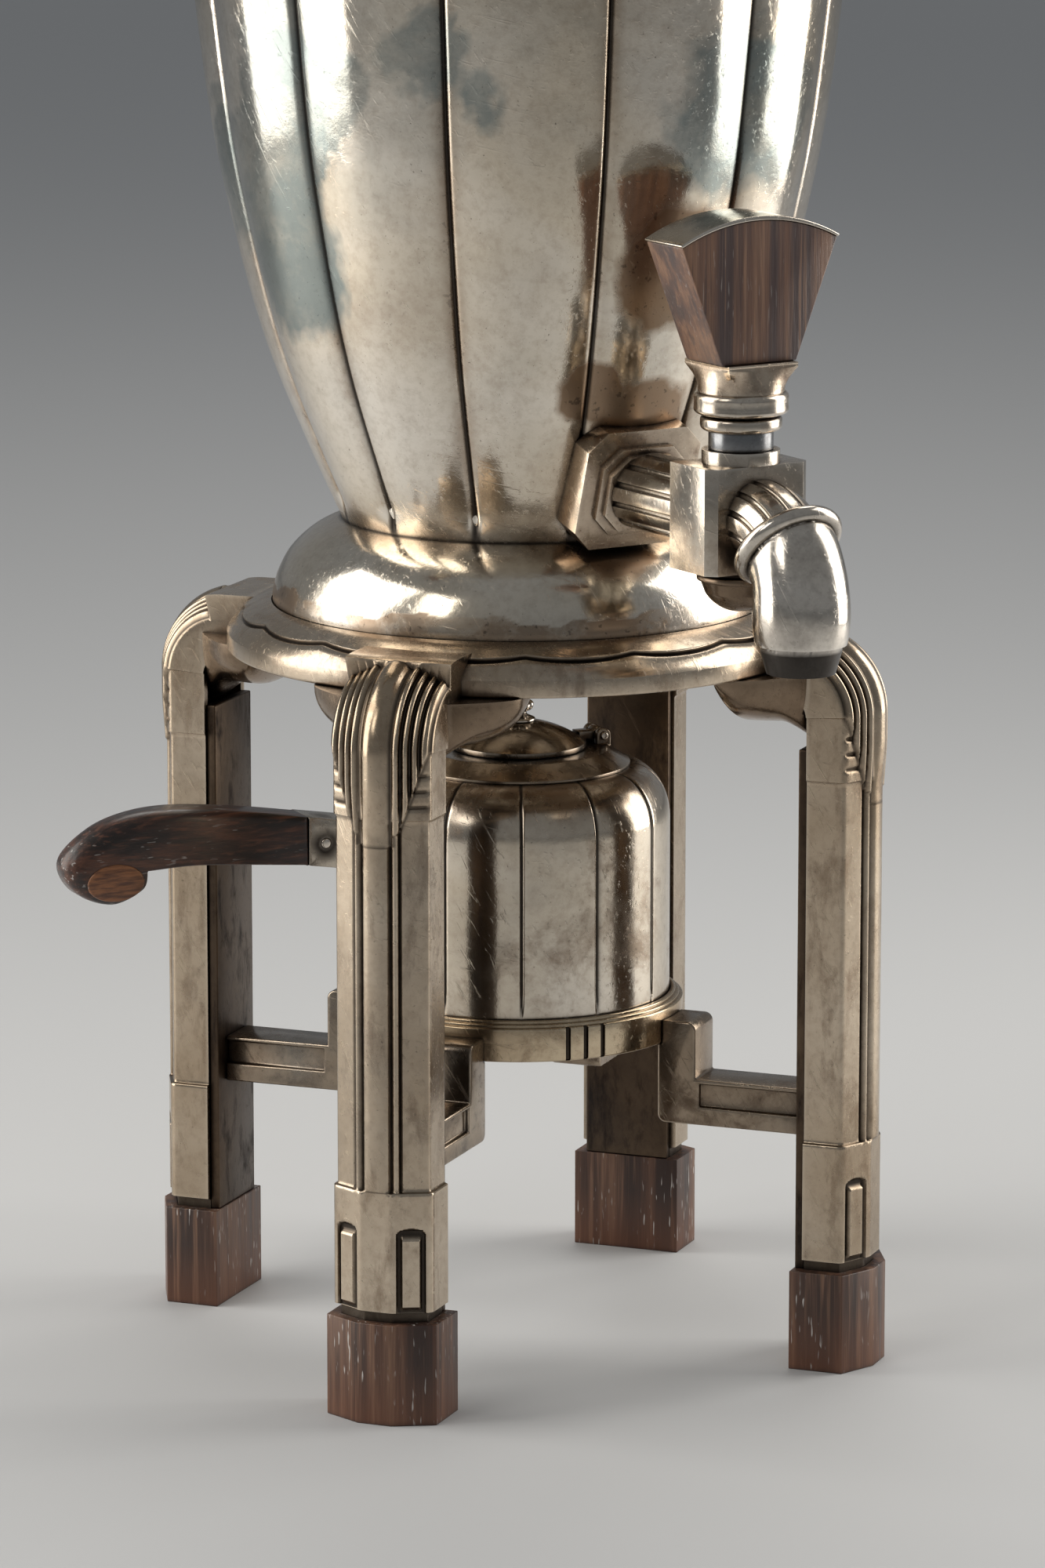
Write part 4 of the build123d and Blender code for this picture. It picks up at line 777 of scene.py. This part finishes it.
def shoulder_relief(across, path, height, dirt):
    """Side panels with ticks and a flange, and the ribbed shield that widens up to the flat top plate. Dirt
    and painted shade lie in the ticks, round the shield's edge and tip, between its ribs and under the top
    plate.
    """
    panel = step(path, PANEL_LOW - 0.3, PANEL_LOW + 0.3)
    panel_height = 0.55
    dirt *= 1 - panel
    for tick in TICKS:
        mark = bell(path - tick, 0.42) * step(across, 5.4, 5.8) * (1 - step(across, 11.8, 12.2))
        panel_height -= 0.7 * mark
        dirt = max(dirt, 0.97 * mark * panel)
    height = mixed(height, panel_height, panel)
    height += 0.5 * step(path, FLANGE_LOW - 0.25, FLANGE_LOW + 0.25) * step(across, 11.6, 12.2)

    edge = shield_edge(path)
    inside, border = 0.0, 0.0
    if edge:
        inside = step(edge - across, -0.25, 0.25)
        border = bell(edge - across + 0.35, 0.4) if path < FLANGE_LOW else 0.0
    ribs, rib_dirt = rib_relief(across)
    plate, shade_under_plate = top_plate(path), 0.0
    if across < PLATE_EDGE:
        ribs = mixed(ribs, PLATE_HEIGHT, plate)
        shade_under_plate = 0.9 * bell(path - PLATE_LOW + 0.5, 0.35)
    ribs *= mixed(0.55, 1.0, step(path, SHIELD_LOW, 150))
    rib_dirt *= inside * (1 - plate)
    tip = bell(path - SHIELD_LOW + 0.3, 0.35) * (1 - step(across, 3.8, 4.2))
    dirt = max(dirt * (1 - inside), rib_dirt, 0.8 * border, 0.8 * tip, shade_under_plate)
    return mixed(height, max(ribs, height), inside), dirt


def leg_relief(across, path):
    """Height over the plain plan, and dirt with painted shade in its grooves and recesses, at a distance from
    the leg's middle and along it.
    """
    grooves = max(bell(across - 3.55, 0.42), bell(across - 5.75, 0.42))
    height = rod(across, 0, 3.1, 1.35) + rod(across, 4.75, 0.75, 0.55) - 0.6 * grooves
    if path < SLEEVE_HIGH + 0.6:
        return sleeve_relief(across, path, height, 0.95 * grooves)
    if path > SHOULDER_LOW:
        return shoulder_relief(across, path, height, 0.95 * grooves)
    return height, 0.95 * grooves


def along_leg(u, path):
    """Radius and height of a point whose plan radius is u, at a distance along the leg."""
    if path <= KNEE_Z:
        return u, path
    if path < KNEE_END:
        angle = (path - KNEE_Z) / KNEE_ROLL
        return KNEE_U + (u - KNEE_U) * math.cos(angle), KNEE_Z + (u - KNEE_U) * math.sin(angle)
    return KNEE_U - (path - KNEE_END) * (0.5 + 0.5 * step(u, 79.0, 84.0)), KNEE_Z + (u - KNEE_U)


def leg_rows():
    """Distances along the leg, close together where its relief changes."""
    rows = [16.5, 23.6, 25.9, 26.2, 26.4, 27.0, 27.8, 28.1, 28.4, 28.8]
    rows += [30 + 2.6 * k for k in range(5)]
    rows += [42.0 + 0.4 * k for k in range(13)] + [48.5, 52.0, 53.6, 54.3, 54.5, 54.7, 55.0, 55.6]
    rows += [60 + 8 * k for k in range(9)] + [130.0, 133.5, 134.4]
    rows += [134.8 + 0.45 * k for k in range(52)]
    rows += [158.2 + 1.05 * k for k in range(28)]
    rows += [PLATE_LOW + k for k in (-0.8, -0.5, -0.3, -0.1, 0.1, 0.3, 0.6)]
    rows += [KNEE_END + (LEG_END - KNEE_END) * k / 5 for k in range(1, 6)]
    return sorted(rows)


def make_legs():
    """Each leg's shell: the relief up its outside, then a plain inside down again."""
    right = [0.3 * k for k in range(1, 43)] + [12.9, 14.2, 16.5, 19.0, SECTION[-1][0]]
    plan = [(s, *section_at(s)) for s in [-s for s in reversed(right)] + [0.0] + right]
    rows = leg_rows()
    lines, marks = [], []
    for path in rows:
        line = []
        for s, u, v, nu, nv in plan:
            height, dirt = leg_relief(abs(s), path)
            u, v = u + nu * height, v + nv * height
            if abs(s) < PLATE_EDGE:
                u = mixed(u, NOSE + PLATE_HEIGHT, top_plate(path))
            line.append((*along_leg(u, path), v))
            marks.append(min(dirt, 1.0))
        lines.append(line)
    for path in reversed(rows):
        lines.append([(*along_leg(u - nu * SHELL_WALL, path), v - nv * SHELL_WALL)
                      for _, u, v, nu, nv in plan])
        # The inside gets a little dirt and painted shade
        marks += [0.35] * len(plan)
    count, last = len(plan), len(lines) - 1
    edges = [[row * count + column for row in (k, k + 1, last - 1 - k, last - k)]
             for column in (0, count - 1) for k in range(len(rows) - 1)]
    for name, angle in LEGS.items():
        turn = leg_frame(angle + STAND_TURN)
        node = "leg_shell_" + name
        placed = [[turn(u, v, z) for u, z, v in line] for line in lines]
        add(node + "_look", placed, "stand", STAND_SILVER, node, 45, closed=True, around=False, faces=edges,
            dirt=marks)


# Gussets: half their width and their depth below the ring, at a leg and at their lip
GUSSET_BACK = SHELL_BACK + 2.0
GUSSET_LENGTH = 20.0
GUSSET_DEPTHS = (17.9, 12.6)
GUSSET_HALVES = (9.5, 25.6)
GUSSET_FULLNESS = 2 / 2.3


def make_gussets():
    """The brackets under the ring, each from inside a leg to a rounded lip under the ring's edge."""
    rows = []
    for k in range(25):
        t = math.sin(math.pi / 2 * k / 24)
        depth = mixed(*GUSSET_DEPTHS, step(t, 0.0, 0.45))
        depth *= math.sqrt(1 - 0.75 * max(t / 0.2 - 4, 0.0) ** 2)
        half = mixed(*GUSSET_HALVES, math.sin(math.pi / 2 * min(t / 0.8, 1.0)))
        row = []
        for n in range(33):
            c, sn = math.cos(math.pi * n / 32), abs(math.sin(math.pi * n / 32))
            v = math.copysign(half * abs(c) ** GUSSET_FULLNESS, c)
            row.append((GUSSET_BACK - GUSSET_LENGTH * t, v, -depth * sn ** GUSSET_FULLNESS))
        rows.append(row)
    caps = [[(u, v * 0.01, z * 0.01 - 0.2) for u, v, z in end] for end in (rows[0], rows[-1])]
    rows = [caps[0]] + rows + [caps[1]]
    for name, angle in LEGS.items():
        turn = leg_frame(angle + STAND_TURN)
        node = "ring_gusset_" + name
        top = box_of(node)[1][2]
        placed = [[turn(u, v, top + z) for u, v, z in row] for row in rows]
        add(node + "_look", placed, "stand", SHADED_BROWN_SILVER, node, 40)


# Burner
BURNER_R = 35.85
BURNER_TOP_R = 26.0
BURNER_WALL = 1.2
SHOULDER_DROP = 12.6
LINE_LOW = 8.0
FIRST_LINE = -30.5
LINE_NEAR = (0.0, 0.2, 0.45, 0.72, 1.05, 1.5, 2.2, 3.2)


def make_burner():
    """The reservoir with its rounded shoulder and pressed lines, which fade out above the base."""
    low, high = (corner[2] for corner in box_of("burner_body"))

    def barrel(radius, top, bottom, chamfer):
        shoulder = high - SHOULDER_DROP
        base = bottom + chamfer
        points = [(0.01, bottom), (radius - chamfer, bottom), (radius, base)]
        points += [(radius, base + (shoulder - base) * k / 16) for k in range(1, 16)]
        for k in range(15):
            angle = math.radians(90 * k / 14)
            points.append((BURNER_TOP_R + (radius - BURNER_TOP_R) * math.cos(angle),
                           shoulder + (top - shoulder) * math.sin(angle)))
        return points

    def pressed(r, z, azimuth, fade, power):
        """1 in the middle of a pressed line, 0 beside it."""
        if r <= BURNER_TOP_R - 1:
            return 0.0
        return (step(z, low + LINE_LOW, low + LINE_LOW + fade)
                * bell(beside_line(r, azimuth, FIRST_LINE), 0.42, power))

    azimuths = crowded(FIRST_LINE, LINE_NEAR, 2.2)
    outside = barrel(BURNER_R, high, low, 1.2) + [(20.0, high), (15.0, high)]
    roof, floor = high - BURNER_WALL, low + BURNER_WALL
    inside = [(15.0, roof)] + barrel(BURNER_R - BURNER_WALL, roof, floor, 1.0)[::-1]
    rows = [hoop(azimuths, r, z, lambda *spot: spot[0] - 0.55 * pressed(*spot, 3.0, 2)) for r, z in outside]
    rows += [hoop(azimuths, r, z) for r, z in inside]
    # Dirt and painted shade in the pressed lines
    dirts = painting(lambda *spot: 0.97 * pressed(*spot, 1.5, 4), outside, azimuths)
    stains = painting(lambda r, z, azimuth: 0.95 * bell(z - high, 8.0), outside, azimuths)
    unpainted = [0.2] * (len(inside) * len(azimuths))
    add("burner_barrel", rows, "burner", BURNER_SILVER, "burner_body", 45, closed=True,
        dirt=dirts + unpainted, stain=stains + unpainted)


# Radius, height over its foot and rounding
FINIAL = [(0.01, 0.0), (3.9, 0.0, 0.2), (3.9, 0.7, 0.35), (2.0, 1.5, 0.5), (1.7, 2.1, 0.2), (3.0, 2.5, 0.5),
          (3.8, 3.8, 1.2), (3.0, 4.9, 0.9), (1.6, 5.0, 0.2), (1.5, 5.8, 0.6), (0.01, 6.1)]
FINIAL_LOBES = 5


def make_finial():
    """The cap's finial: a lobed bud with a bead on top, on a round foot."""
    low = box_of("cap_finial")[0][2]
    outline = soften([(r, low + z, *own) for r, z, *own in FINIAL], 0.1, closed=False)

    def valley(r, z, azimuth):
        if z < low + 2.2 or r < 1.9:
            return 0.0
        return 1 - abs(math.cos(math.radians(azimuth) * FINIAL_LOBES / 2)) ** 0.6

    # Dirt and painted shade lie in the valleys between the bud's lobes
    lathe("cap_finial_look", outline, "cap", TAP_SILVER, "cap_finial", azimuths=120, closed=False, sharp=50,
          radius=lambda r, z, azimuth: r * (1 - 0.28 * valley(r, z, azimuth)),
          dirt=lambda r, z, azimuth: 0.9 * valley(r, z, azimuth) ** 2)


# Tray
TRAY_R = 39.1
TRAY_HOLE_R = 36.15
TRAY_LEDGE_R = 30.65
TRAY_STEP = 0.9
REED_PITCH = 6.5
REED_DEPTH = 0.6


def reed_groove(azimuth):
    """1 in the three grooves on the tray's band between neighbouring arms, 0 beside them."""
    off = (azimuth - STAND_TURN + 45.0) % 90.0 - 45.0
    arc = min(math.radians(abs(off - REED_PITCH * k)) * TRAY_R for k in (-1, 0, 1))
    return 1.0 - step(arc, 0.40, 0.62)


def make_tray():
    """The ring under the burner: a band with grooves, two rounded steps above it and a ledge inside."""
    low, high = (corner[2] for corner in box_of("tray_ring"))
    band, step_top, ledge = high - 1.5, high - 0.75, low + 2.5
    first, second = TRAY_R - TRAY_STEP, TRAY_R - 2 * TRAY_STEP
    profile = [(TRAY_LEDGE_R, low), (TRAY_R, low, 0.5), (TRAY_R, band, 0.6), (first, band, 0.1),
               (first, step_top, 0.5), (second, step_top, 0.1), (second, high, 0.5), (TRAY_HOLE_R, high),
               (TRAY_HOLE_R, ledge), (TRAY_LEDGE_R, ledge)]
    azimuths = {2.5 * k for k in range(144)}
    for arm in range(4):
        for k in (-1, 0, 1):
            middle = 90.0 * arm + STAND_TURN + REED_PITCH * k
            for off in (-1.0, -0.9, -0.75, -0.6, 0.0, 0.6, 0.75, 0.9, 1.0):
                azimuths.add((middle + off) % 360)

    def groove(r, z, azimuth):
        return reed_groove(azimuth) if r > TRAY_R - 0.5 else 0.0

    # The grooves get dirt and painted shade
    lathe("tray_band", soften(profile, 0.2), "stand", TRAY_SILVER, "tray_ring", azimuths=sorted(azimuths),
          radius=lambda *spot: spot[0] - REED_DEPTH * groove(*spot), dirt=lambda *spot: 0.97 * groove(*spot))


# Burner handle. Places are (radius, height over the burner's bottom), as seen from the side, and the rounding
# of its edges is given at some points of its outline.
GRIP_AZIMUTH = -90.0 + STAND_TURN
GRIP_HALF = 5.4
GRIP_START = (55.8, 53.4)
GRIP_TOP = ((70.4, 55.8), (87.4, 57.7), (99.5, 57.1), (109.1, 53.8), (115.9, 47.0))
GRIP_TIP = ((112.7, 39.8), (104.5, 36.7), (97.0, 39.8), (95.8, 44.0))
GRIP_UNDER = ((85.5, 44.35), (76.0, 43.8), (65.8, 42.9), (55.8, 42.0))
SCROLL_MIDDLE = (103.9, 42.0)
SCROLL_HALF = (7.0, 4.35)
SCROLL_ROWS = ((1.0, -0.5), (1.0, 0.15), (0.975, 0.35), (0.93, 0.42), (0.5, 0.46), (0.01, 0.47))
GRIP_ROUNDING = ((0, 1.0), (9, 1.7), (18, 2.8), (27, 4.2), (36, 5.2), (45, 5.0), (54, 3.2), (63, 1.6),
                 (72, 0.8), (81, 0.7), (101, 0.7))


def between(table, value):
    """Reads a table of (place, height) along straight lines."""
    for (a, low), (b, high) in zip(table, table[1:]):
        if value <= b:
            return mixed(low, high, (value - a) / (b - a))
    return table[-1][1]


def make_grip():
    """The curved grip: flat sides under a broad rounded band that curls round the end into a scroll."""
    base = box_of("burner_body")[0][2]
    turn = leg_frame(GRIP_AZIMUTH)
    outline = smooth_curve((GRIP_START,) + GRIP_TOP + GRIP_TIP, 9)
    outline += smooth_curve((GRIP_TIP[-1],) + GRIP_UNDER, 5)[1:]
    count = len(outline)
    edge = []
    for i, p in enumerate(outline):
        way = (outline[(i + 1) % count] - outline[i - 1]).normalized()
        edge.append((p, Vector((way.y, -way.x)), between(GRIP_ROUNDING, i)))
    rows = []
    for side in (1, -1):
        for k in range(8)[::side]:
            angle = math.pi / 2 * k / 7
            row = []
            for p, inward, r in edge:
                q = p + inward * r * (1 - math.sin(angle))
                out = GRIP_HALF - min(r, GRIP_HALF) * (1 - math.cos(angle))
                row.append(turn(q.x, side * out, q.y + base))
            rows.append(row)
    last = (len(rows) - 1) * count
    sides = [range(count - 1, -1, -1), range(last, last + count)]
    add("grip_curled", rows, "burner", GRIP_WOOD, "handle_grip", 40, faces=[tuple(side) for side in sides])

    for side, name in ((1, "scroll_front"), (-1, "scroll_back")):
        rows = []
        for size, proud in SCROLL_ROWS:
            row = []
            for k in range(64):
                angle = 2 * math.pi * k / 64
                u = SCROLL_MIDDLE[0] + SCROLL_HALF[0] * size * math.cos(angle)
                z = SCROLL_MIDDLE[1] + SCROLL_HALF[1] * size * math.sin(angle)
                row.append(turn(u, side * (GRIP_HALF + proud), z + base))
            rows.append(row)
        add(name, rows, "burner", GRIP_WOOD, None, 50, scroll=[1.0] * (64 * len(rows)))


# Tap
TAP_CENTRE = (0, -94.9)
SOCKET_NECK = 9.7
SOCKET_SEAT = 0.9


def make_key_socket():
    """A socket that flares from round under the collars to an oblong seat for the key."""
    low, high = box_of("key_socket")
    half_x, half_y = (high[0] - low[0]) / 2 - 0.6, (high[1] - low[1]) / 2 - 0.6
    middle, seat = (low[1] + high[1]) / 2, high[2] - SOCKET_SEAT

    def ring(flare, size, z):
        """The section at a share of the flare, round at 0 and oblong at 1."""
        blend = min(1.0, 1.05 * flare ** 1.7)
        row = []
        for k in range(96):
            angle = 2 * math.pi * k / 96
            c, sn = math.cos(angle), math.sin(angle)
            square = 1 / max(abs(c), abs(sn))
            x = SOCKET_NECK * c + (half_x * square - SOCKET_NECK) * c * blend
            y = SOCKET_NECK * sn + (half_y * square - SOCKET_NECK) * sn * blend
            row.append((x * size, middle + y * size, z))
        return row

    rows = [ring(0.0, 0.01, low[2])]
    rows += [ring(k / 10, 1.0, low[2] + (seat - low[2]) * k / 10) for k in range(11)]
    rows += [ring(1.0, 0.985, seat + 0.3), ring(1.0, 1.0, high[2] - 0.3)]
    rows += [ring(1.0, size, high[2]) for size in (0.985, 0.01)]
    add("key_socket_look", rows, "plug", ESCUTCHEON_SILVER, "key_socket", 45)


def make_collars():
    """The two rounded collars between the plug's neck and the key socket."""
    outline, _ = section_of("plug_collars", TAP_CENTRE)
    bore = min(r for r, _ in outline)
    (left, _, low), (right, _, high) = box_of("plug_collars")
    wide = (right - left) / 2
    small, waist = wide - 1.5, low + 3.7
    profile = [(bore, low), (small - 1.0, low, 0.6), (small, low + 0.8, 0.8), (small, waist - 0.7, 0.8),
               (small - 1.0, waist - 0.1, 0.2), (small - 1.0, waist + 0.15, 0.2),
               (wide - 0.7, waist + 0.2, 0.5), (wide, waist + 0.9, 0.6),
               (wide - 0.18, (waist + high) / 2, 1.5), (wide, high - 0.9, 0.6), (wide - 0.7, high, 0.5),
               (bore, high)]
    lathe("collar_rings", soften(profile, 0.1), "plug", TAP_SILVER, "plug_collars", 96, TAP_CENTRE, sharp=50)


def lid_line(r, azimuth, width, power):
    """1 in the middle of a pressed line on the lid, 0 beside it and at both its ends."""
    return bell(beside_line(r, azimuth, FIRST_VALLEY), width, power) * step(r, 16, 24) * (1 - step(r, 46, 52))


make_vessel()
make_foot()
make_ring()
make_legs()
make_gussets()
make_burner()
make_finial()
make_tray()
make_grip()
make_key_socket()
make_collars()
turned("vessel_neck_ring", "vessel", SILVER, turns=192)
# The lid's pressed lines get dirt and painted shade
turned("lid", "lid", SILVER, 0.6, turns=crowded(FIRST_VALLEY, VALLEY_NEAR, 2.4),
       radius=lambda r, z, azimuth: r - 0.9 * lid_line(r, azimuth, 0.8, 2),
       dirt=lambda r, z, azimuth: 0.9 * lid_line(r, azimuth, 0.6, 4))
turned("lid_knob_base", "lid", SILVER, 0.7, turns=96)
turned("plug_nut", "plug", SHADED_BROWN_SILVER, 0.6, TAP_CENTRE, 96)
turned("plug_washer", "plug", DARK_SILVER, 0.25, TAP_CENTRE, 96)

# The spout's end is black with dirt
TIP_TOP = box_of("spout_nozzle")[0][2] + 6.3
refined("spout_nozzle", "vessel", NOZZLE_SILVER, 0.3, dirt=lambda z: 1.0 if z < TIP_TOP else 0.0)

# The other pieces keep their solids' shape, with softened edges
for body, node, skin, width in (
        [("stand", "leg_back_plate_" + name, DARK_SILVER, 0.35) for name in LEGS]
        + [("stand", "tray_arm_" + name, DUSKY_SILVER, 0.55) for name in LEGS]
        + [("stand", "foot_block_" + name, FOOT_WOOD, 0.55) for name in LEGS]
        + [("stand", "foot_screws", BRASS, 0.2),
           ("burner", "burner_collar", DUSKY_SILVER, 0.3), ("burner", "wick_holder", DUSKY_SILVER, 0.2),
           ("burner", "wick", WICK, 0.6), ("burner", "cap_hinge_pin", TAP_SILVER, 0.25),
           ("burner", "handle_socket", SOCKET_SILVER, 0.35), ("burner", "handle_pin", TAP_SILVER, 0.3),
           ("cap", "burner_cap", CAP_SILVER, 0.3),
           ("vessel", "tap_escutcheon", ESCUTCHEON_SILVER, 0.4), ("vessel", "tap_barrel", TAP_SILVER, 0.15),
           ("vessel", "tap_block", TAP_SILVER, 0.8), ("vessel", "tap_elbow", TAP_SILVER, 0.15),
           ("vessel", "side_sockets_left", SILVER, 0.6), ("vessel", "side_sockets_right", SILVER, 0.6),
           ("vessel", "side_grip_left", KEY_WOOD, 1.6), ("vessel", "side_grip_right", KEY_WOOD, 1.6),
           ("vessel", "side_handle_pins", SILVER, 0.3),
           ("plug", "tap_plug", PLUG_SILVER, 0.3), ("plug", "tap_key", KEY_WOOD, 0.35),
           ("plug", "tap_key_plate", TAP_SILVER, 0.25),
           ("lid", "lid_knob", KEY_WOOD, 0.35), ("lid", "lid_knob_plate", TAP_SILVER, 0.25),
           ("lid", "lid_knob_screw", BRASS, 0.3)]):
    refined(node, body, skin, width)


# Floor, light and camera

def make_floor():
    mesh = bpy.data.meshes.new("floor")
    shape = bmesh.new()
    bmesh.ops.create_circle(shape, cap_ends=True, segments=96, radius=30)
    shape.to_mesh(mesh)
    shape.free()
    floor = bpy.data.objects.new("floor", mesh)
    bpy.context.scene.collection.objects.link(floor)
    skin = Skin("floor")
    skin.fill(skin.shader, {"Base Color": (0.59, 0.595, 0.60), "Roughness": 0.65})
    mesh.materials.append(skin.material)


def outward(azimuth):
    """The level direction away from the axis at an azimuth."""
    return Vector(polar(1, azimuth, 0))


def softbox(name, turn, distance, height, size, power):
    """A rectangular light at an azimuth from the photo's, which shines on the vessel."""
    position = Vector((0, AXIS_Y, height)) + outward(PHOTO_AZIMUTH + turn) * distance
    data = bpy.data.lights.new(name, "AREA")
    data.shape = "RECTANGLE"
    data.size, data.size_y = size
    data.energy = power
    data.color = (1.0, 0.965, 0.91)
    light = bpy.data.objects.new(name, data)
    light.visible_camera = False
    light.location = position
    light.rotation_euler = (Vector((0, AXIS_Y, 0.22)) - position).to_track_quat("-Z", "Y").to_euler()
    bpy.context.scene.collection.objects.link(light)


def make_light():
    softbox("left_softbox", -86, 0.74, 0.44, (0.6, 0.86), 5.6)
    softbox("right_softbox", 104, 0.72, 0.42, (0.5, 0.82), 5.2)
    softbox("front_softbox", -44, 1.7, 1.25, (0.6, 0.9), 5)
    softbox("top_softbox", 170, 1.0, 1.6, (1.2, 0.8), 8)
    world = bpy.data.worlds.new("studio")
    bpy.context.scene.world = world
    world.use_nodes = True
    background = world.node_tree.nodes["Background"]
    background.inputs["Color"].default_value = (0.93, 0.965, 1.0, 1)
    background.inputs["Strength"].default_value = 0.22


CAMERA_DISTANCE = 1.638
CAMERA_HEIGHT = 0.4674
CAMERA_SIDE = 0.000865
CAMERA_PITCH = 11.56
CAMERA_LENS = 162.0


def make_camera():
    away, right = outward(PHOTO_AZIMUTH), outward(PHOTO_AZIMUTH + 90)
    data = bpy.data.cameras.new("camera")
    data.sensor_fit = "VERTICAL"
    data.sensor_height = 36
    data.lens = CAMERA_LENS
    data.clip_start, data.clip_end = 0.05, 100
    camera = bpy.data.objects.new("camera", data)
    camera.location = Vector((0, AXIS_Y, CAMERA_HEIGHT)) + away * CAMERA_DISTANCE + right * CAMERA_SIDE
    pitch = math.radians(CAMERA_PITCH)
    look = -away * math.cos(pitch) - Vector((0, 0, math.sin(pitch)))
    camera.rotation_mode = "QUATERNION"
    camera.rotation_quaternion = look.to_track_quat("-Z", "Y")
    bpy.context.scene.collection.objects.link(camera)
    bpy.context.scene.camera = camera


make_floor()
make_light()
make_camera()
bpy.context.scene.view_settings.view_transform = "Standard"
